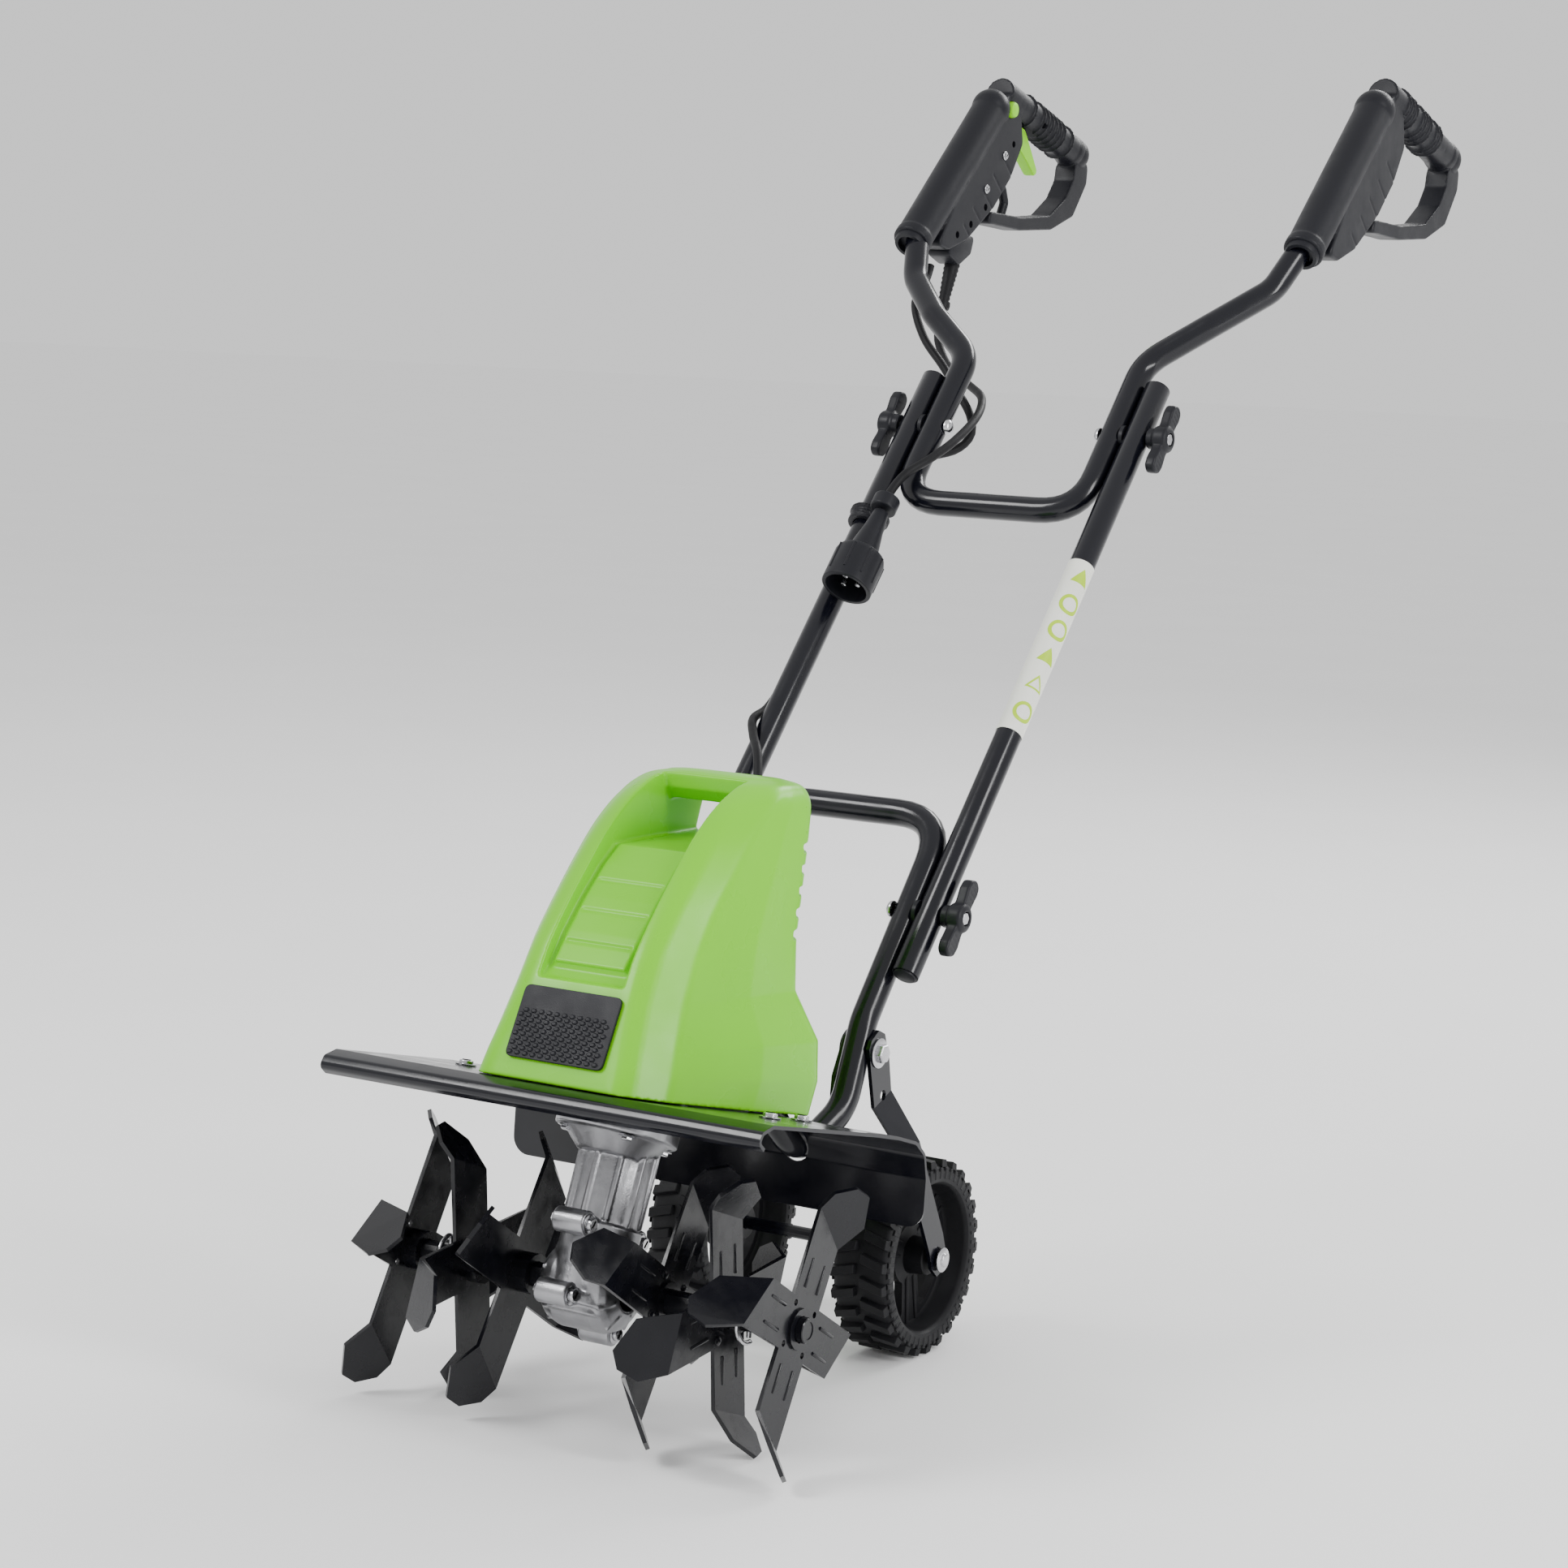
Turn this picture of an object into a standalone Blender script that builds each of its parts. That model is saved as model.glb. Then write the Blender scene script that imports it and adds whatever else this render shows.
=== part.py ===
"""Mini cultivator (small electric tiller) as an assembly of separate named parts.

Frame: +X is the machine's right, +Y is its rear (towards the operator), +Z is up.
The origin is on the floor.  All sizes below are millimetres; MM turns them into metres.
"""
import math
import bpy
import bmesh
from mathutils import Matrix, Vector

MM = 0.001
GAP = 0.3

# --- driving sizes -----------------------------------------------------------------
CENTRE_Y = 470.2
AXLE_Z = 100.5
AXLE_RADIUS = 9.0
STAR_X = {1: (62.0, 112.0, 168.0), -1: (60.0, 104.0, 156.0)}
STAR_TURN = (57.0, 95.0, 60.0)
STAR_SHEET = 3.0
ARM_HALF = 19.0
BEND_RADIUS = 72.0
TIP_BEND = 42.0
# bend line radius and fold in degrees of the inward arms: inner, middle and outer star
INWARD_FOLD = ((72.0, 42.0), (66.0, 60.0), (61.0, 78.0))

WHEEL_RADIUS = 75.0
WHEEL_Y = 303.0
WHEEL_X = 82.0
WHEEL_WIDTH = 48.0
CARRIAGE_PIVOT = (225.0, 244.0)

TUBE_RADIUS = 10.4
TUBE_BORE = 8.9
MIDDLE_X = 103.0
INNER_X = 81.5
LOWER_PIVOT = (282.0, 341.0)
UPPER_PIVOT = (590.0, 690.0)
GRIP_X = 183.0

WORM_LEAN = math.atan2(0.385, 0.923)
WORM_OFFSET = 17.0
COLUMN_OFFSET = 7.0
COLUMN_RADIUS = 27.0

COVER_WALL = 3.0
RECESS_HALF = 35.0

CORD_RADIUS = 3.6

COLOURS = {
    "green_shell": ((0.20, 0.78, 0.02, 1), 0.35, 0.0),
    "black_plastic": ((0.02, 0.021, 0.025, 1), 0.5, 0.0),
    "black_paint": ((0.012, 0.013, 0.018, 1), 0.3, 0.3),
    "die_cast": ((0.55, 0.55, 0.56, 1), 0.38, 1.0),
    "steel": ((0.6, 0.6, 0.62, 1), 0.3, 1.0),
    "lime": ((0.30, 0.75, 0.02, 1), 0.4, 0.0),
    "label": ((0.9, 0.9, 0.88, 1), 0.5, 0.0),
    "rubber": ((0.02, 0.02, 0.022, 1), 0.8, 0.0),
    "bronze": ((0.6, 0.42, 0.2, 1), 0.4, 1.0),
}


def clear_scene():
    for item in list(bpy.data.objects):
        bpy.data.objects.remove(item, do_unlink=True)


def material(name):
    if name in bpy.data.materials:
        return bpy.data.materials[name]
    colour, rough, metal = COLOURS[name]
    made = bpy.data.materials.new(name)
    made.use_nodes = True
    shader = made.node_tree.nodes["Principled BSDF"]
    shader.inputs["Base Color"].default_value = colour
    shader.inputs["Roughness"].default_value = rough
    shader.inputs["Metallic"].default_value = metal
    return made


def add_object(name, data, look=None, at=(0, 0, 0), turn=(0, 0, 0)):
    made = bpy.data.objects.new(name, data)
    bpy.context.scene.collection.objects.link(made)
    made.location = Vector(at) * MM
    made.rotation_euler = turn
    if look:
        data.materials.append(material(look))
    return made


def mesh_from(bm, name):
    bmesh.ops.recalc_face_normals(bm, faces=bm.faces[:])
    if bm.calc_volume(signed=True) < 0:
        bmesh.ops.reverse_faces(bm, faces=bm.faces[:])
    data = bpy.data.meshes.new(name)
    bm.to_mesh(data)
    bm.free()
    data.shade_smooth()
    data.set_sharp_from_angle(angle=math.radians(32))
    return data


def solid(name, bm, look, at=(0, 0, 0), turn=(0, 0, 0)):
    return add_object(name, mesh_from(bm, name), look, at, turn)


def hide_helper(item):
    item.hide_render = True
    item.display_type = "WIRE"
    return item


def combine(target, other, operation, solver="EXACT"):
    """Boolean of target with a helper solid."""
    hide_helper(other)
    step = target.modifiers.new(operation.lower(), "BOOLEAN")
    step.operation = operation
    step.solver = solver
    step.object = other
    return target


def rings_bm(rings, closed_ends=True):
    """Skin of a list of closed rings with equal point counts (millimetres)."""
    bm = bmesh.new()
    loops = [[bm.verts.new(Vector(p) * MM) for p in ring] for ring in rings]
    for low, high in zip(loops[:-1], loops[1:]):
        count = len(low)
        for i in range(count):
            j = (i + 1) % count
            bm.faces.new((low[i], low[j], high[j], high[i]))
    if closed_ends:
        bm.faces.new(list(reversed(loops[0])))
        bm.faces.new(loops[-1])
    return bm


def turned(profile, count=24):
    """Solid turned about X from (x, radius) points; radius 0 closes an end."""
    bm = bmesh.new()
    rings = []
    for x, r in profile:
        if r <= 1e-6:
            rings.append([bm.verts.new((x * MM, 0, 0))])
            continue
        ring = []
        for i in range(count):
            angle = 2 * math.pi * i / count
            ring.append(bm.verts.new((x * MM, r * MM * math.cos(angle), r * MM * math.sin(angle))))
        rings.append(ring)
    for a, b in zip(rings[:-1], rings[1:]):
        for i in range(count):
            j = (i + 1) % count
            if len(a) == 1:
                bm.faces.new((a[0], b[i], b[j]))
            elif len(b) == 1:
                bm.faces.new((a[i], a[j], b[0]))
            else:
                bm.faces.new((a[i], a[j], b[j], b[i]))
    return bm


def ring_bm(loop, count):
    """Ring-shaped solid about X from a closed loop of (x, radius) points."""
    bm = bmesh.new()
    rings = []
    for x, r in loop:
        ring = []
        for i in range(count):
            angle = 2 * math.pi * i / count
            ring.append(bm.verts.new((x * MM, r * MM * math.cos(angle), r * MM * math.sin(angle))))
        rings.append(ring)
    for k, a in enumerate(rings):
        b = rings[(k + 1) % len(rings)]
        for i in range(count):
            j = (i + 1) % count
            bm.faces.new((a[i], a[j], b[j], b[i]))
    return bm


def bushing(x0, x1, inner, outer, count=16):
    """Plain ring about X."""
    return ring_bm([(x0, inner), (x0, outer), (x1, outer), (x1, inner)], count)


def rod_bm(start, end, radius, count=12, end_radius=None):
    """Round bar between two points."""
    start = Vector(start)
    end = Vector(end)
    end_radius = radius if end_radius is None else end_radius
    along = (end - start).normalized()
    side = along.orthogonal().normalized()
    up = along.cross(side)
    rings = []
    for centre, r in ((start, radius), (end, end_radius)):
        ring = []
        for i in range(count):
            a = 2 * math.pi * i / count
            ring.append(centre + side * (r * math.cos(a)) + up * (r * math.sin(a)))
        rings.append(ring)
    return rings_bm(rings)


def plate_bm(outline, x0, x1, bevel=0.0):
    """Plate with a (y, z) outline between two X planes."""
    rings = [[(x0, y, z) for y, z in outline], [(x1, y, z) for y, z in outline]]
    bm = rings_bm(rings)
    if bevel:
        edges = [e for e in bm.edges if len(e.link_faces) == 2]
        bmesh.ops.bevel(bm, geom=edges, offset=bevel * MM, segments=1, affect="EDGES")
    return bm


def box_bm(low, high, bevel=0.0):
    outline = [(low[1], low[2]), (high[1], low[2]), (high[1], high[2]), (low[1], high[2])]
    return plate_bm(outline, low[0], high[0], bevel)


def rounded(points, radius, steps=2):
    """Polyline with its inner corners replaced by arcs."""
    points = [Vector(p) for p in points]
    out = [points[0]]
    for before, corner, after in zip(points[:-2], points[1:-1], points[2:]):
        a = (before - corner).normalized()
        b = (after - corner).normalized()
        half = a.angle(b) / 2
        reach = min(radius / math.tan(half), 0.48 * (before - corner).length, 0.48 * (after - corner).length)
        p, q = corner + a * reach, corner + b * reach
        for i in range(steps + 1):
            t = i / steps
            out.append(p * (1 - t) ** 2 + corner * 2 * t * (1 - t) + q * t * t)
    out.append(points[-1])
    return out


def curve_tube(name, points, radius, look, resolution=3):
    """Round tube along a path, as a curve with filled caps."""
    data = bpy.data.curves.new(name, "CURVE")
    data.dimensions = "3D"
    data.bevel_depth = radius * MM
    data.bevel_resolution = resolution
    data.use_fill_caps = True
    spline = data.splines.new("POLY")
    spline.points.add(len(points) - 1)
    for slot, p in zip(spline.points, points):
        slot.co = (p[0] * MM, p[1] * MM, p[2] * MM, 1)
    return add_object(name, data, look)


def sweep_bm(points, radius, count=8, bore=0.0):
    """Round bar or open-ended pipe swept along a path, its section carried without twist."""
    points = [Vector(p) for p in points]
    frames = []
    side = None
    for i, p in enumerate(points):
        before = points[max(i - 1, 0)]
        after = points[min(i + 1, len(points) - 1)]
        along = (after - before).normalized()
        side = along.orthogonal() if side is None else side - along * side.dot(along)
        side.normalize()
        frames.append((p, side.copy(), along.cross(side)))

    def ring(frame, r):
        p, across, up = frame
        angles = [2 * math.pi * k / count for k in range(count)]
        return [p + across * (r * math.cos(a)) + up * (r * math.sin(a)) for a in angles]

    outside = [ring(f, radius) for f in frames]
    if not bore:
        return rings_bm(outside)
    inside = [ring(f, bore) for f in reversed(frames)]
    bm = rings_bm(outside + inside, False)
    bm.verts.ensure_lookup_table()
    first, last = bm.verts[:count], bm.verts[-count:]
    for k in range(count):
        j = (k + 1) % count
        bm.faces.new((last[k], last[j], first[j], first[k]))
    return bm


def smooth_route(points, spacing):
    """Evenly spaced points on a Catmull-Rom curve through the route."""
    points = [Vector(p) for p in points]
    padded = [2 * points[0] - points[1]] + points + [2 * points[-1] - points[-2]]
    fine = []
    for a, b, c, d in zip(padded[:-3], padded[1:-2], padded[2:-1], padded[3:]):
        for i in range(24):
            t = i / 24
            fine.append(0.5 * (2 * b + (c - a) * t + (2 * a - 5 * b + 4 * c - d) * t * t
                               + (3 * b - a - 3 * c + d) * t ** 3))
    fine.append(points[-1])
    total = sum((q - p).length for p, q in zip(fine[:-1], fine[1:]))
    count = max(4, round(total / spacing))
    step = total / count
    out = [fine[0]]
    walked = 0.0
    for p, q in zip(fine[:-1], fine[1:]):
        length = (q - p).length
        while len(out) < count and walked + length >= step * len(out):
            t = (step * len(out) - walked) / length
            out.append(p.lerp(q, t))
        walked += length
    out.append(fine[-1])
    return out


def mirrored(points):
    return [(-p[0], p[1], p[2]) for p in points]


def on_tube(z):
    """Height of the long handle tube's centre line turned into its Y."""
    share = (z - LOWER_PIVOT[1]) / (UPPER_PIVOT[1] - LOWER_PIVOT[1])
    return LOWER_PIVOT[0] + share * (UPPER_PIVOT[0] - LOWER_PIVOT[0])


# --- tines ---------------------------------------------------------------------------
def star_sheet_bm(inward, side):
    """Four-armed star in one bent sheet, centred on X = 0, before it gets thickness.

    The arms bend outwards and inwards in turn; inward is the inward arms' bend line and fold.
    """
    bm = bmesh.new()
    half = ARM_HALF
    inner = []
    for i in range(4):
        a = math.radians(45 + 90 * i)
        reach = half * math.sqrt(2)
        inner.append(bm.verts.new((0, reach * MM * math.cos(a), reach * MM * math.sin(a))))
    bm.faces.new(inner)
    for i in range(4):
        bend = 1 if i % 2 == 0 else -1
        radius, fold = (BEND_RADIUS, TIP_BEND) if bend > 0 else inward
        tip_turn = math.radians(fold)
        a = math.radians(90 * i)
        out = Vector((0, math.cos(a), math.sin(a)))
        across = Vector((0, -math.sin(a), math.cos(a)))
        left = inner[i]
        right = inner[(i - 1) % 4]
        far_left = out * (radius + 9) + across * half
        far_right = out * (radius - 9) - across * half
        hinge = (far_left - far_right).normalized()
        push = Vector((side * bend, 0, 0))
        turn = Matrix.Rotation(tip_turn if hinge.cross(out).dot(push) > 0 else -tip_turn, 3, hinge)
        tips = []
        for o, c in ((95, 19), (107, 8), (107, -5), (87, -22)):
            flat = out * o + across * c - far_right
            tips.append(turn @ flat + far_right)
        fl = bm.verts.new(far_left * MM)
        fr = bm.verts.new(far_right * MM)
        bm.faces.new((right, fr, fl, left))
        tip_verts = [bm.verts.new(p * MM) for p in tips]
        bm.faces.new([fr] + list(reversed(tip_verts)) + [fl])
    return bm


def tine_star(name, x, turn_deg, inward, side):
    bm = star_sheet_bm(inward, side)
    bmesh.ops.recalc_face_normals(bm, faces=bm.faces[:])
    data = bpy.data.meshes.new(name)
    bm.to_mesh(data)
    bm.free()
    star = add_object(name, data, "black_paint", (x * side, 0, AXLE_Z), (math.radians(turn_deg), 0, 0))
    thick = star.modifiers.new("thickness", "SOLIDIFY")
    thick.thickness = STAR_SHEET * MM
    thick.offset = 0
    thick.use_even_offset = True
    collar_in = -13.0 * side
    ends = sorted((collar_in, 3.5 * side))
    collar = solid(name + "_collar", rod_bm((ends[0], 0, 0), (ends[1], 0, 0), 14.5, 14), None)
    bore = solid(name + "_bore", rod_bm((-40, 0, 0), (40, 0, 0), AXLE_RADIUS + 0.5, 12), None)
    for helper in (collar, bore):
        helper.location = star.location
        helper.rotation_euler = star.rotation_euler
    combine(star, collar, "UNION")
    combine(star, bore, "DIFFERENCE")
    for k in range(4) if "outer" in name else ():
        a = math.radians(45 + 90 * k)
        spot = (20.5 * math.cos(a), 20.5 * math.sin(a))
        hole = solid(f"{name}_rivet_hole_{k}", rod_bm((-8, *spot), (8, *spot), 2.4, 8), None)
        hole.location = star.location
        hole.rotation_euler = star.rotation_euler
        combine(star, hole, "DIFFERENCE")
    return star


def build_tines():
    for side, word in ((-1, "left"), (1, "right")):
        places = ("inner", "middle", "outer")
        for place, x, turn, inward in zip(places, STAR_X[side], STAR_TURN, INWARD_FOLD):
            tine_star(f"tine_{word}_{place}", x, turn, inward, side)
    axle = turned([(-164, 0), (-164, AXLE_RADIUS), (176, AXLE_RADIUS), (176, 0)], 14)
    made = solid("tine_axle", axle, "steel", (0, 0, AXLE_Z))
    for side in (-1, 1):
        x = side * (STAR_X[side][1] + 18)
        hole = solid(f"pin_hole_{side}", rod_bm((x, 0, -20), (x, 0, 20), 2.3, 12), None, (0, 0, AXLE_Z))
        combine(made, hole, "DIFFERENCE")
    for side, word in ((-1, "left"), (1, "right")):
        x = side * (STAR_X[side][1] + 18)
        ring = []
        for i in range(7):
            a = math.radians(-80 + 160 * i / 6)
            ring.append((x, -16.5 * math.cos(a), AXLE_Z + 16.5 * math.sin(a)))
        path = [(x, 2.0, AXLE_Z - 16.5)] + ring + [(x, 0.0, AXLE_Z + 15.0), (x, 0.0, AXLE_Z - 13.0)]
        solid(f"hitch_pin_{word}", sweep_bm(rounded(path, 3.0, 2), 1.8, 6), "steel")


# --- gearbox -------------------------------------------------------------------------
def worm_point(along, side=0.0):
    """Point on the worm shaft's leaning axis, a distance up it from beside the axle."""
    lean = Vector((0, math.sin(WORM_LEAN), math.cos(WORM_LEAN)))
    front = Vector((0, -math.cos(WORM_LEAN), math.sin(WORM_LEAN)))
    return Vector((0, 0, AXLE_Z)) + front * (WORM_OFFSET + side) + lean * along


def column_point(along, side=0.0):
    """Point on the column's own centre line, which runs behind the worm shaft."""
    return worm_point(along, COLUMN_OFFSET - WORM_OFFSET + side)


def bolt_place(along, side):
    """(y, z) of a gearbox bolt, in front of (-1) or behind (+1) the column."""
    if along < 0 and side > 0:
        return 11.5, AXLE_Z - 35.0
    spot = column_point(along, -36.0 * side)
    return spot.y, spot.z


def half_of(name, keep_side, look, source):
    """Right or left half of a solid split on the middle plane."""
    made = add_object(name, source.data.copy(), None)
    made.data.materials.clear()
    made.data.materials.append(material(look))
    for step in source.modifiers:
        copy = made.modifiers.new(step.name, "BOOLEAN")
        copy.operation = step.operation
        copy.solver = step.solver
        copy.object = step.object
    near, far = sorted((keep_side * GAP / 2, keep_side * 200))
    keeper = solid(name + "_side", box_bm((near, -300, -100), (far, 500, 500)), None)
    combine(made, keeper, "INTERSECT")
    return made


def build_gearbox():
    column = solid("gearbox_column", rod_bm(column_point(-22), column_point(110), COLUMN_RADIUS, 16), None)
    dome = turned([(-33, 0), (-33, 14), (-28, 24), (-16, 31), (16, 31), (28, 24), (33, 14), (33, 0)], 18)
    combine(column, solid("gearbox_dome", dome, None, (0, 0, AXLE_Z)), "UNION")
    combine(column, solid("gearbox_flange", rod_bm(worm_point(104), worm_point(116), 44, 20), None), "UNION")
    flare = rod_bm(worm_point(91), worm_point(108), 25, 18, 41)
    combine(column, solid("gearbox_flare", flare, None), "UNION")
    for along in (-12, 38):
        band = rod_bm(column_point(along - 3.5), column_point(along + 3.5), COLUMN_RADIUS + 2.6, 14)
        combine(column, solid(f"gearbox_band_{along}", band, None), "UNION")
        for side in (-1, 1):
            y, z = bolt_place(along, side)
            lug = bushing(-13, 13, 2.3 + 2 * GAP, 9.0, 10)
            combine(column, solid(f"gearbox_lug_{along}_{side}", lug, None, (0, y, z)), "UNION")
    bore = rod_bm(worm_point(-14), worm_point(140), 15.0, 14)
    combine(column, solid("worm_bore", bore, None), "DIFFERENCE")
    room = turned([(-11, 0), (-11, 25), (11, 25), (11, 0)], 20)
    combine(column, solid("wheel_room", room, None, (0, 0, AXLE_Z)), "DIFFERENCE")
    way = AXLE_RADIUS + 1.0
    seat = [(-60, 0), (-60, way), (-24, way), (-24, 15.3), (24, 15.3), (24, way), (60, way), (60, 0)]
    combine(column, solid("bearing_seat", turned(seat, 17), None, (0, 0, AXLE_Z)), "DIFFERENCE")
    half_of("gearbox_right", 1, "die_cast", column)
    half_of("gearbox_left", -1, "die_cast", column)
    hide_helper(column)
    number = 0
    for along in (-12, 38):
        for side in (-1, 1):
            number += 1
            y, z = bolt_place(along, side)
            bolt = turned([(-13, 0), (-13, 2.3), (13 + GAP, 2.3), (13 + GAP, 4.6), (17, 4.6), (17, 0)], 8)
            solid(f"gearbox_bolt_{number}", bolt, "steel", (0, y, z))
    for side, word in ((-1, "left"), (1, "right")):
        a, b = sorted((side * 13.0, side * 23.7))
        solid(f"axle_bearing_{word}", bushing(a, b, AXLE_RADIUS + GAP, 15.0), "steel", (0, 0, AXLE_Z))
    wheel = bushing(-9, 9, AXLE_RADIUS + GAP, 11.2, 16)
    gear = solid("worm_wheel", wheel, "bronze", (0, 0, AXLE_Z))
    for k in range(8):
        a = 2 * math.pi * k / 8
        spot = Vector((0, math.cos(a), math.sin(a))) * 11.0
        tooth = box_bm((-6, -1.0, -1.0), (6, 1.0, 1.0))
        made = solid(f"wheel_tooth_{k}", tooth, None, (0, spot.y, AXLE_Z + spot.z), (a, 0, 0))
        combine(gear, made, "UNION")
    shaft = solid("worm_shaft", rod_bm(worm_point(-12), worm_point(120), 4.0, 12), "steel")
    worm = solid("worm_thread", rod_bm(worm_point(-9), worm_point(9), 4.4, 16), None)
    combine(shaft, worm, "UNION")
    lower = solid("worm_bearing", bushing(0, 9, 4.3, 14.4, 14), "steel")
    upward = Matrix.Rotation(-WORM_LEAN, 4, "X") @ Matrix.Rotation(-math.pi / 2, 4, "Y")
    lower.matrix_world = Matrix.Translation(worm_point(70) * MM) @ upward


# --- motor ---------------------------------------------------------------------------
def build_motor():
    base, top = worm_point(116 + GAP), worm_point(206)
    can = solid("motor_can", rod_bm(base, top, 43, 18), "steel")
    room = solid("motor_room", rod_bm(worm_point(121), worm_point(216), 38, 18), None)
    combine(can, room, "DIFFERENCE")
    combine(can, solid("motor_shaft_way", rod_bm(worm_point(96), worm_point(136), 9, 12), None), "DIFFERENCE")
    stator = solid("motor_stator", rod_bm(worm_point(128), worm_point(188), 37.2, 18), "steel")
    stator_way = solid("stator_way", rod_bm(worm_point(106), worm_point(216), 24.8, 14), None)
    combine(stator, stator_way, "DIFFERENCE")
    rotor = solid("motor_rotor", rod_bm(worm_point(120 + GAP), worm_point(212), 5.0, 12), "steel")
    combine(rotor, solid("rotor_core", rod_bm(worm_point(132), worm_point(184), 23.5, 14), None), "UNION")
    combine(rotor, solid("commutator", rod_bm(worm_point(190), worm_point(204), 13, 14), None), "UNION")
    fan = solid("motor_fan", rod_bm(worm_point(212 + GAP), worm_point(215), 30, 16), "black_plastic")
    for k in range(7):
        blade = solid(f"fan_blade_{k}", box_bm((8, -1, -3.0), (30, 1, 7)), None)
        upward = Matrix.Rotation(-WORM_LEAN, 4, "X")
        spin = Matrix.Rotation(2 * math.pi * k / 7, 4, "Z")
        blade.matrix_world = Matrix.Translation(worm_point(215) * MM) @ upward @ spin
        combine(fan, blade, "UNION")


# --- cover ---------------------------------------------------------------------------
COVER_SECTIONS = (
    # height at front, at rear, front y, rear y, half width front, half width rear
    (254.5, 207, -61.0, 156, 62, 90),
    (270, 232, -53.0, 164, 60, 92),
    (285, 262, -45.1, 166, 57, 90),
    (312, 300, -31.0, 150, 53, 79),
    (340, 334, -15, 152, 51, 77),
    (368, 366, 8, 160, 50, 75),
    (394, 394, 33, 168, 50, 73),
    (416, 416, 56, 176, 49, 70),
    (434, 432, 82, 182, 47, 66),
    (446, 442, 110, 180, 42, 58),
    (449, 446, 128, 172, 36, 46),
)


def cover_ring(section, inset=0.0):
    """One cross-section of the cover: chamfered front corners, rounded rear corners."""
    zf, zr, front, rear, wf, wr = section
    front, rear = front + inset, rear - inset
    wf, wr = wf - inset, wr - inset
    depth = rear - front
    half = [
        (0, front),
        (wf * 0.5, front),
        (wf - 5, front + 1),
        (wf, front + 6),
        (min(wf + 17, wr - 1), front + min(30, 0.3 * depth)),
        (wr, front + 0.55 * depth),
        (wr, rear - min(24, 0.2 * depth)),
        (wr - 8, rear - min(7, 0.08 * depth)),
        (wr - 22, rear),
        (0, rear),
    ]
    ring = half + [(-x, y) for x, y in reversed(half[1:-1])]
    out = []
    for x, y in ring:
        share = (y - front) / (rear - front)
        out.append((x, y, zf + (zr - zf) * share))
    return out


def recess_outline(grow):
    """(y, z) outline of the front recess and the hand slot behind it, grown by a wall."""
    return [
        (-90, 320 - grow),
        (-21 + grow, 320 - grow),
        (-14 + grow, 326 - grow),
        (2 + grow, 348 - grow),
        (23 + grow, 370 - grow),
        (45 + grow, 390 - grow),
        (62 + grow, 402 - grow),
        (230, 402 - grow),
        (230, 429 + grow),
        (134 + grow, 429 + grow),
        (126 + grow, 438),
        (124 + grow, 480),
        (-90, 480),
    ]


def build_cover():
    outer = solid("motor_cover", rings_bm([cover_ring(s) for s in COVER_SECTIONS]), "green_shell")
    inner_sections = []
    for k, s in enumerate(COVER_SECTIONS[:-1]):
        drop = -12 if k == 0 else (0 if k < 7 else -3)
        inner_sections.append((s[0] + drop, s[1] + drop) + s[2:])
    room = solid("cover_room", rings_bm([cover_ring(s, COVER_WALL) for s in inner_sections]), None)
    kept = solid("recess_wall", plate_bm(recess_outline(COVER_WALL), -RECESS_HALF - COVER_WALL,
                                         RECESS_HALF + COVER_WALL), None)
    combine(room, kept, "DIFFERENCE")
    combine(outer, room, "DIFFERENCE")
    cut = solid("recess_cut", plate_bm(recess_outline(0), -RECESS_HALF, RECESS_HALF), None)
    combine(outer, cut, "DIFFERENCE")
    entry = rod_bm((-50, 120, 286), (-50, 200, 286), 5.5, 12)
    combine(outer, solid("cable_entry", entry, None), "DIFFERENCE")
    for k in range(5):
        z = 338 + 15 * k
        for side in (-1, 1):
            a, b = sorted((side * 46, side * 92))
            vent = solid(f"vent_{k}_{side}", box_bm((a, 142 + k * 3.2, z), (b, 200, z + 6.5)), None)
            combine(outer, vent, "DIFFERENCE")


def build_label_plate():
    low, high = COVER_SECTIONS[0], COVER_SECTIONS[3]
    lean = math.atan2(high[2] - low[2], high[0] - low[0])
    share = (290.5 - low[0]) / (high[0] - low[0])
    face = Vector((0, low[2] + share * (high[2] - low[2]), 290.5))
    centre = face + Vector((0, -math.cos(lean), math.sin(lean))) * 0.8
    bm = box_bm((-40, -2.2, -26.2), (40, 0, 26.2), 0.8)
    solid("label_plate", bm, "black_plastic", centre, (-lean, 0, 0))


# --- shield --------------------------------------------------------------------------
def sheet_profile(points, thickness):
    """Closed (y, z) outline of a bent sheet of even thickness."""
    points = [Vector(p) for p in points]
    upper, lower = [], []
    for i, p in enumerate(points):
        a = points[max(i - 1, 0)]
        b = points[min(i + 1, len(points) - 1)]
        normal = Vector((-(b - a).y, (b - a).x)).normalized()
        upper.append(p + normal * thickness / 2)
        lower.append(p - normal * thickness / 2)
    return [(p.x, p.y) for p in upper + lower[::-1]]


def build_shield():
    path = [(-74, 239), (-78.5, 244.5), (-75, 250), (-62, 252.4), (0, 238.9), (75, 222.4)]
    sheet = solid("tine_shield", plate_bm(sheet_profile(path, 2.6), -181, 181), "black_paint")
    way = solid("gearbox_way", rod_bm(worm_point(60), worm_point(165), 45.0, 18), None)
    combine(sheet, way, "DIFFERENCE")
    back = [(76.5, 221.8), (112, 213.2), (138, 205), (151, 194), (155, 176), (153, 140)]
    guard = solid("rear_guard", plate_bm(sheet_profile(back, 2.4), -178, 178), "black_paint")
    frame_way = solid("guard_frame_way", sweep_bm(frame_path(), TUBE_RADIUS + 2.0), None)
    combine(guard, frame_way, "DIFFERENCE")
    motor_way = solid("guard_motor_way", rod_bm(worm_point(60), worm_point(165), 45.0, 18), None)
    combine(guard, motor_way, "DIFFERENCE")


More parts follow.
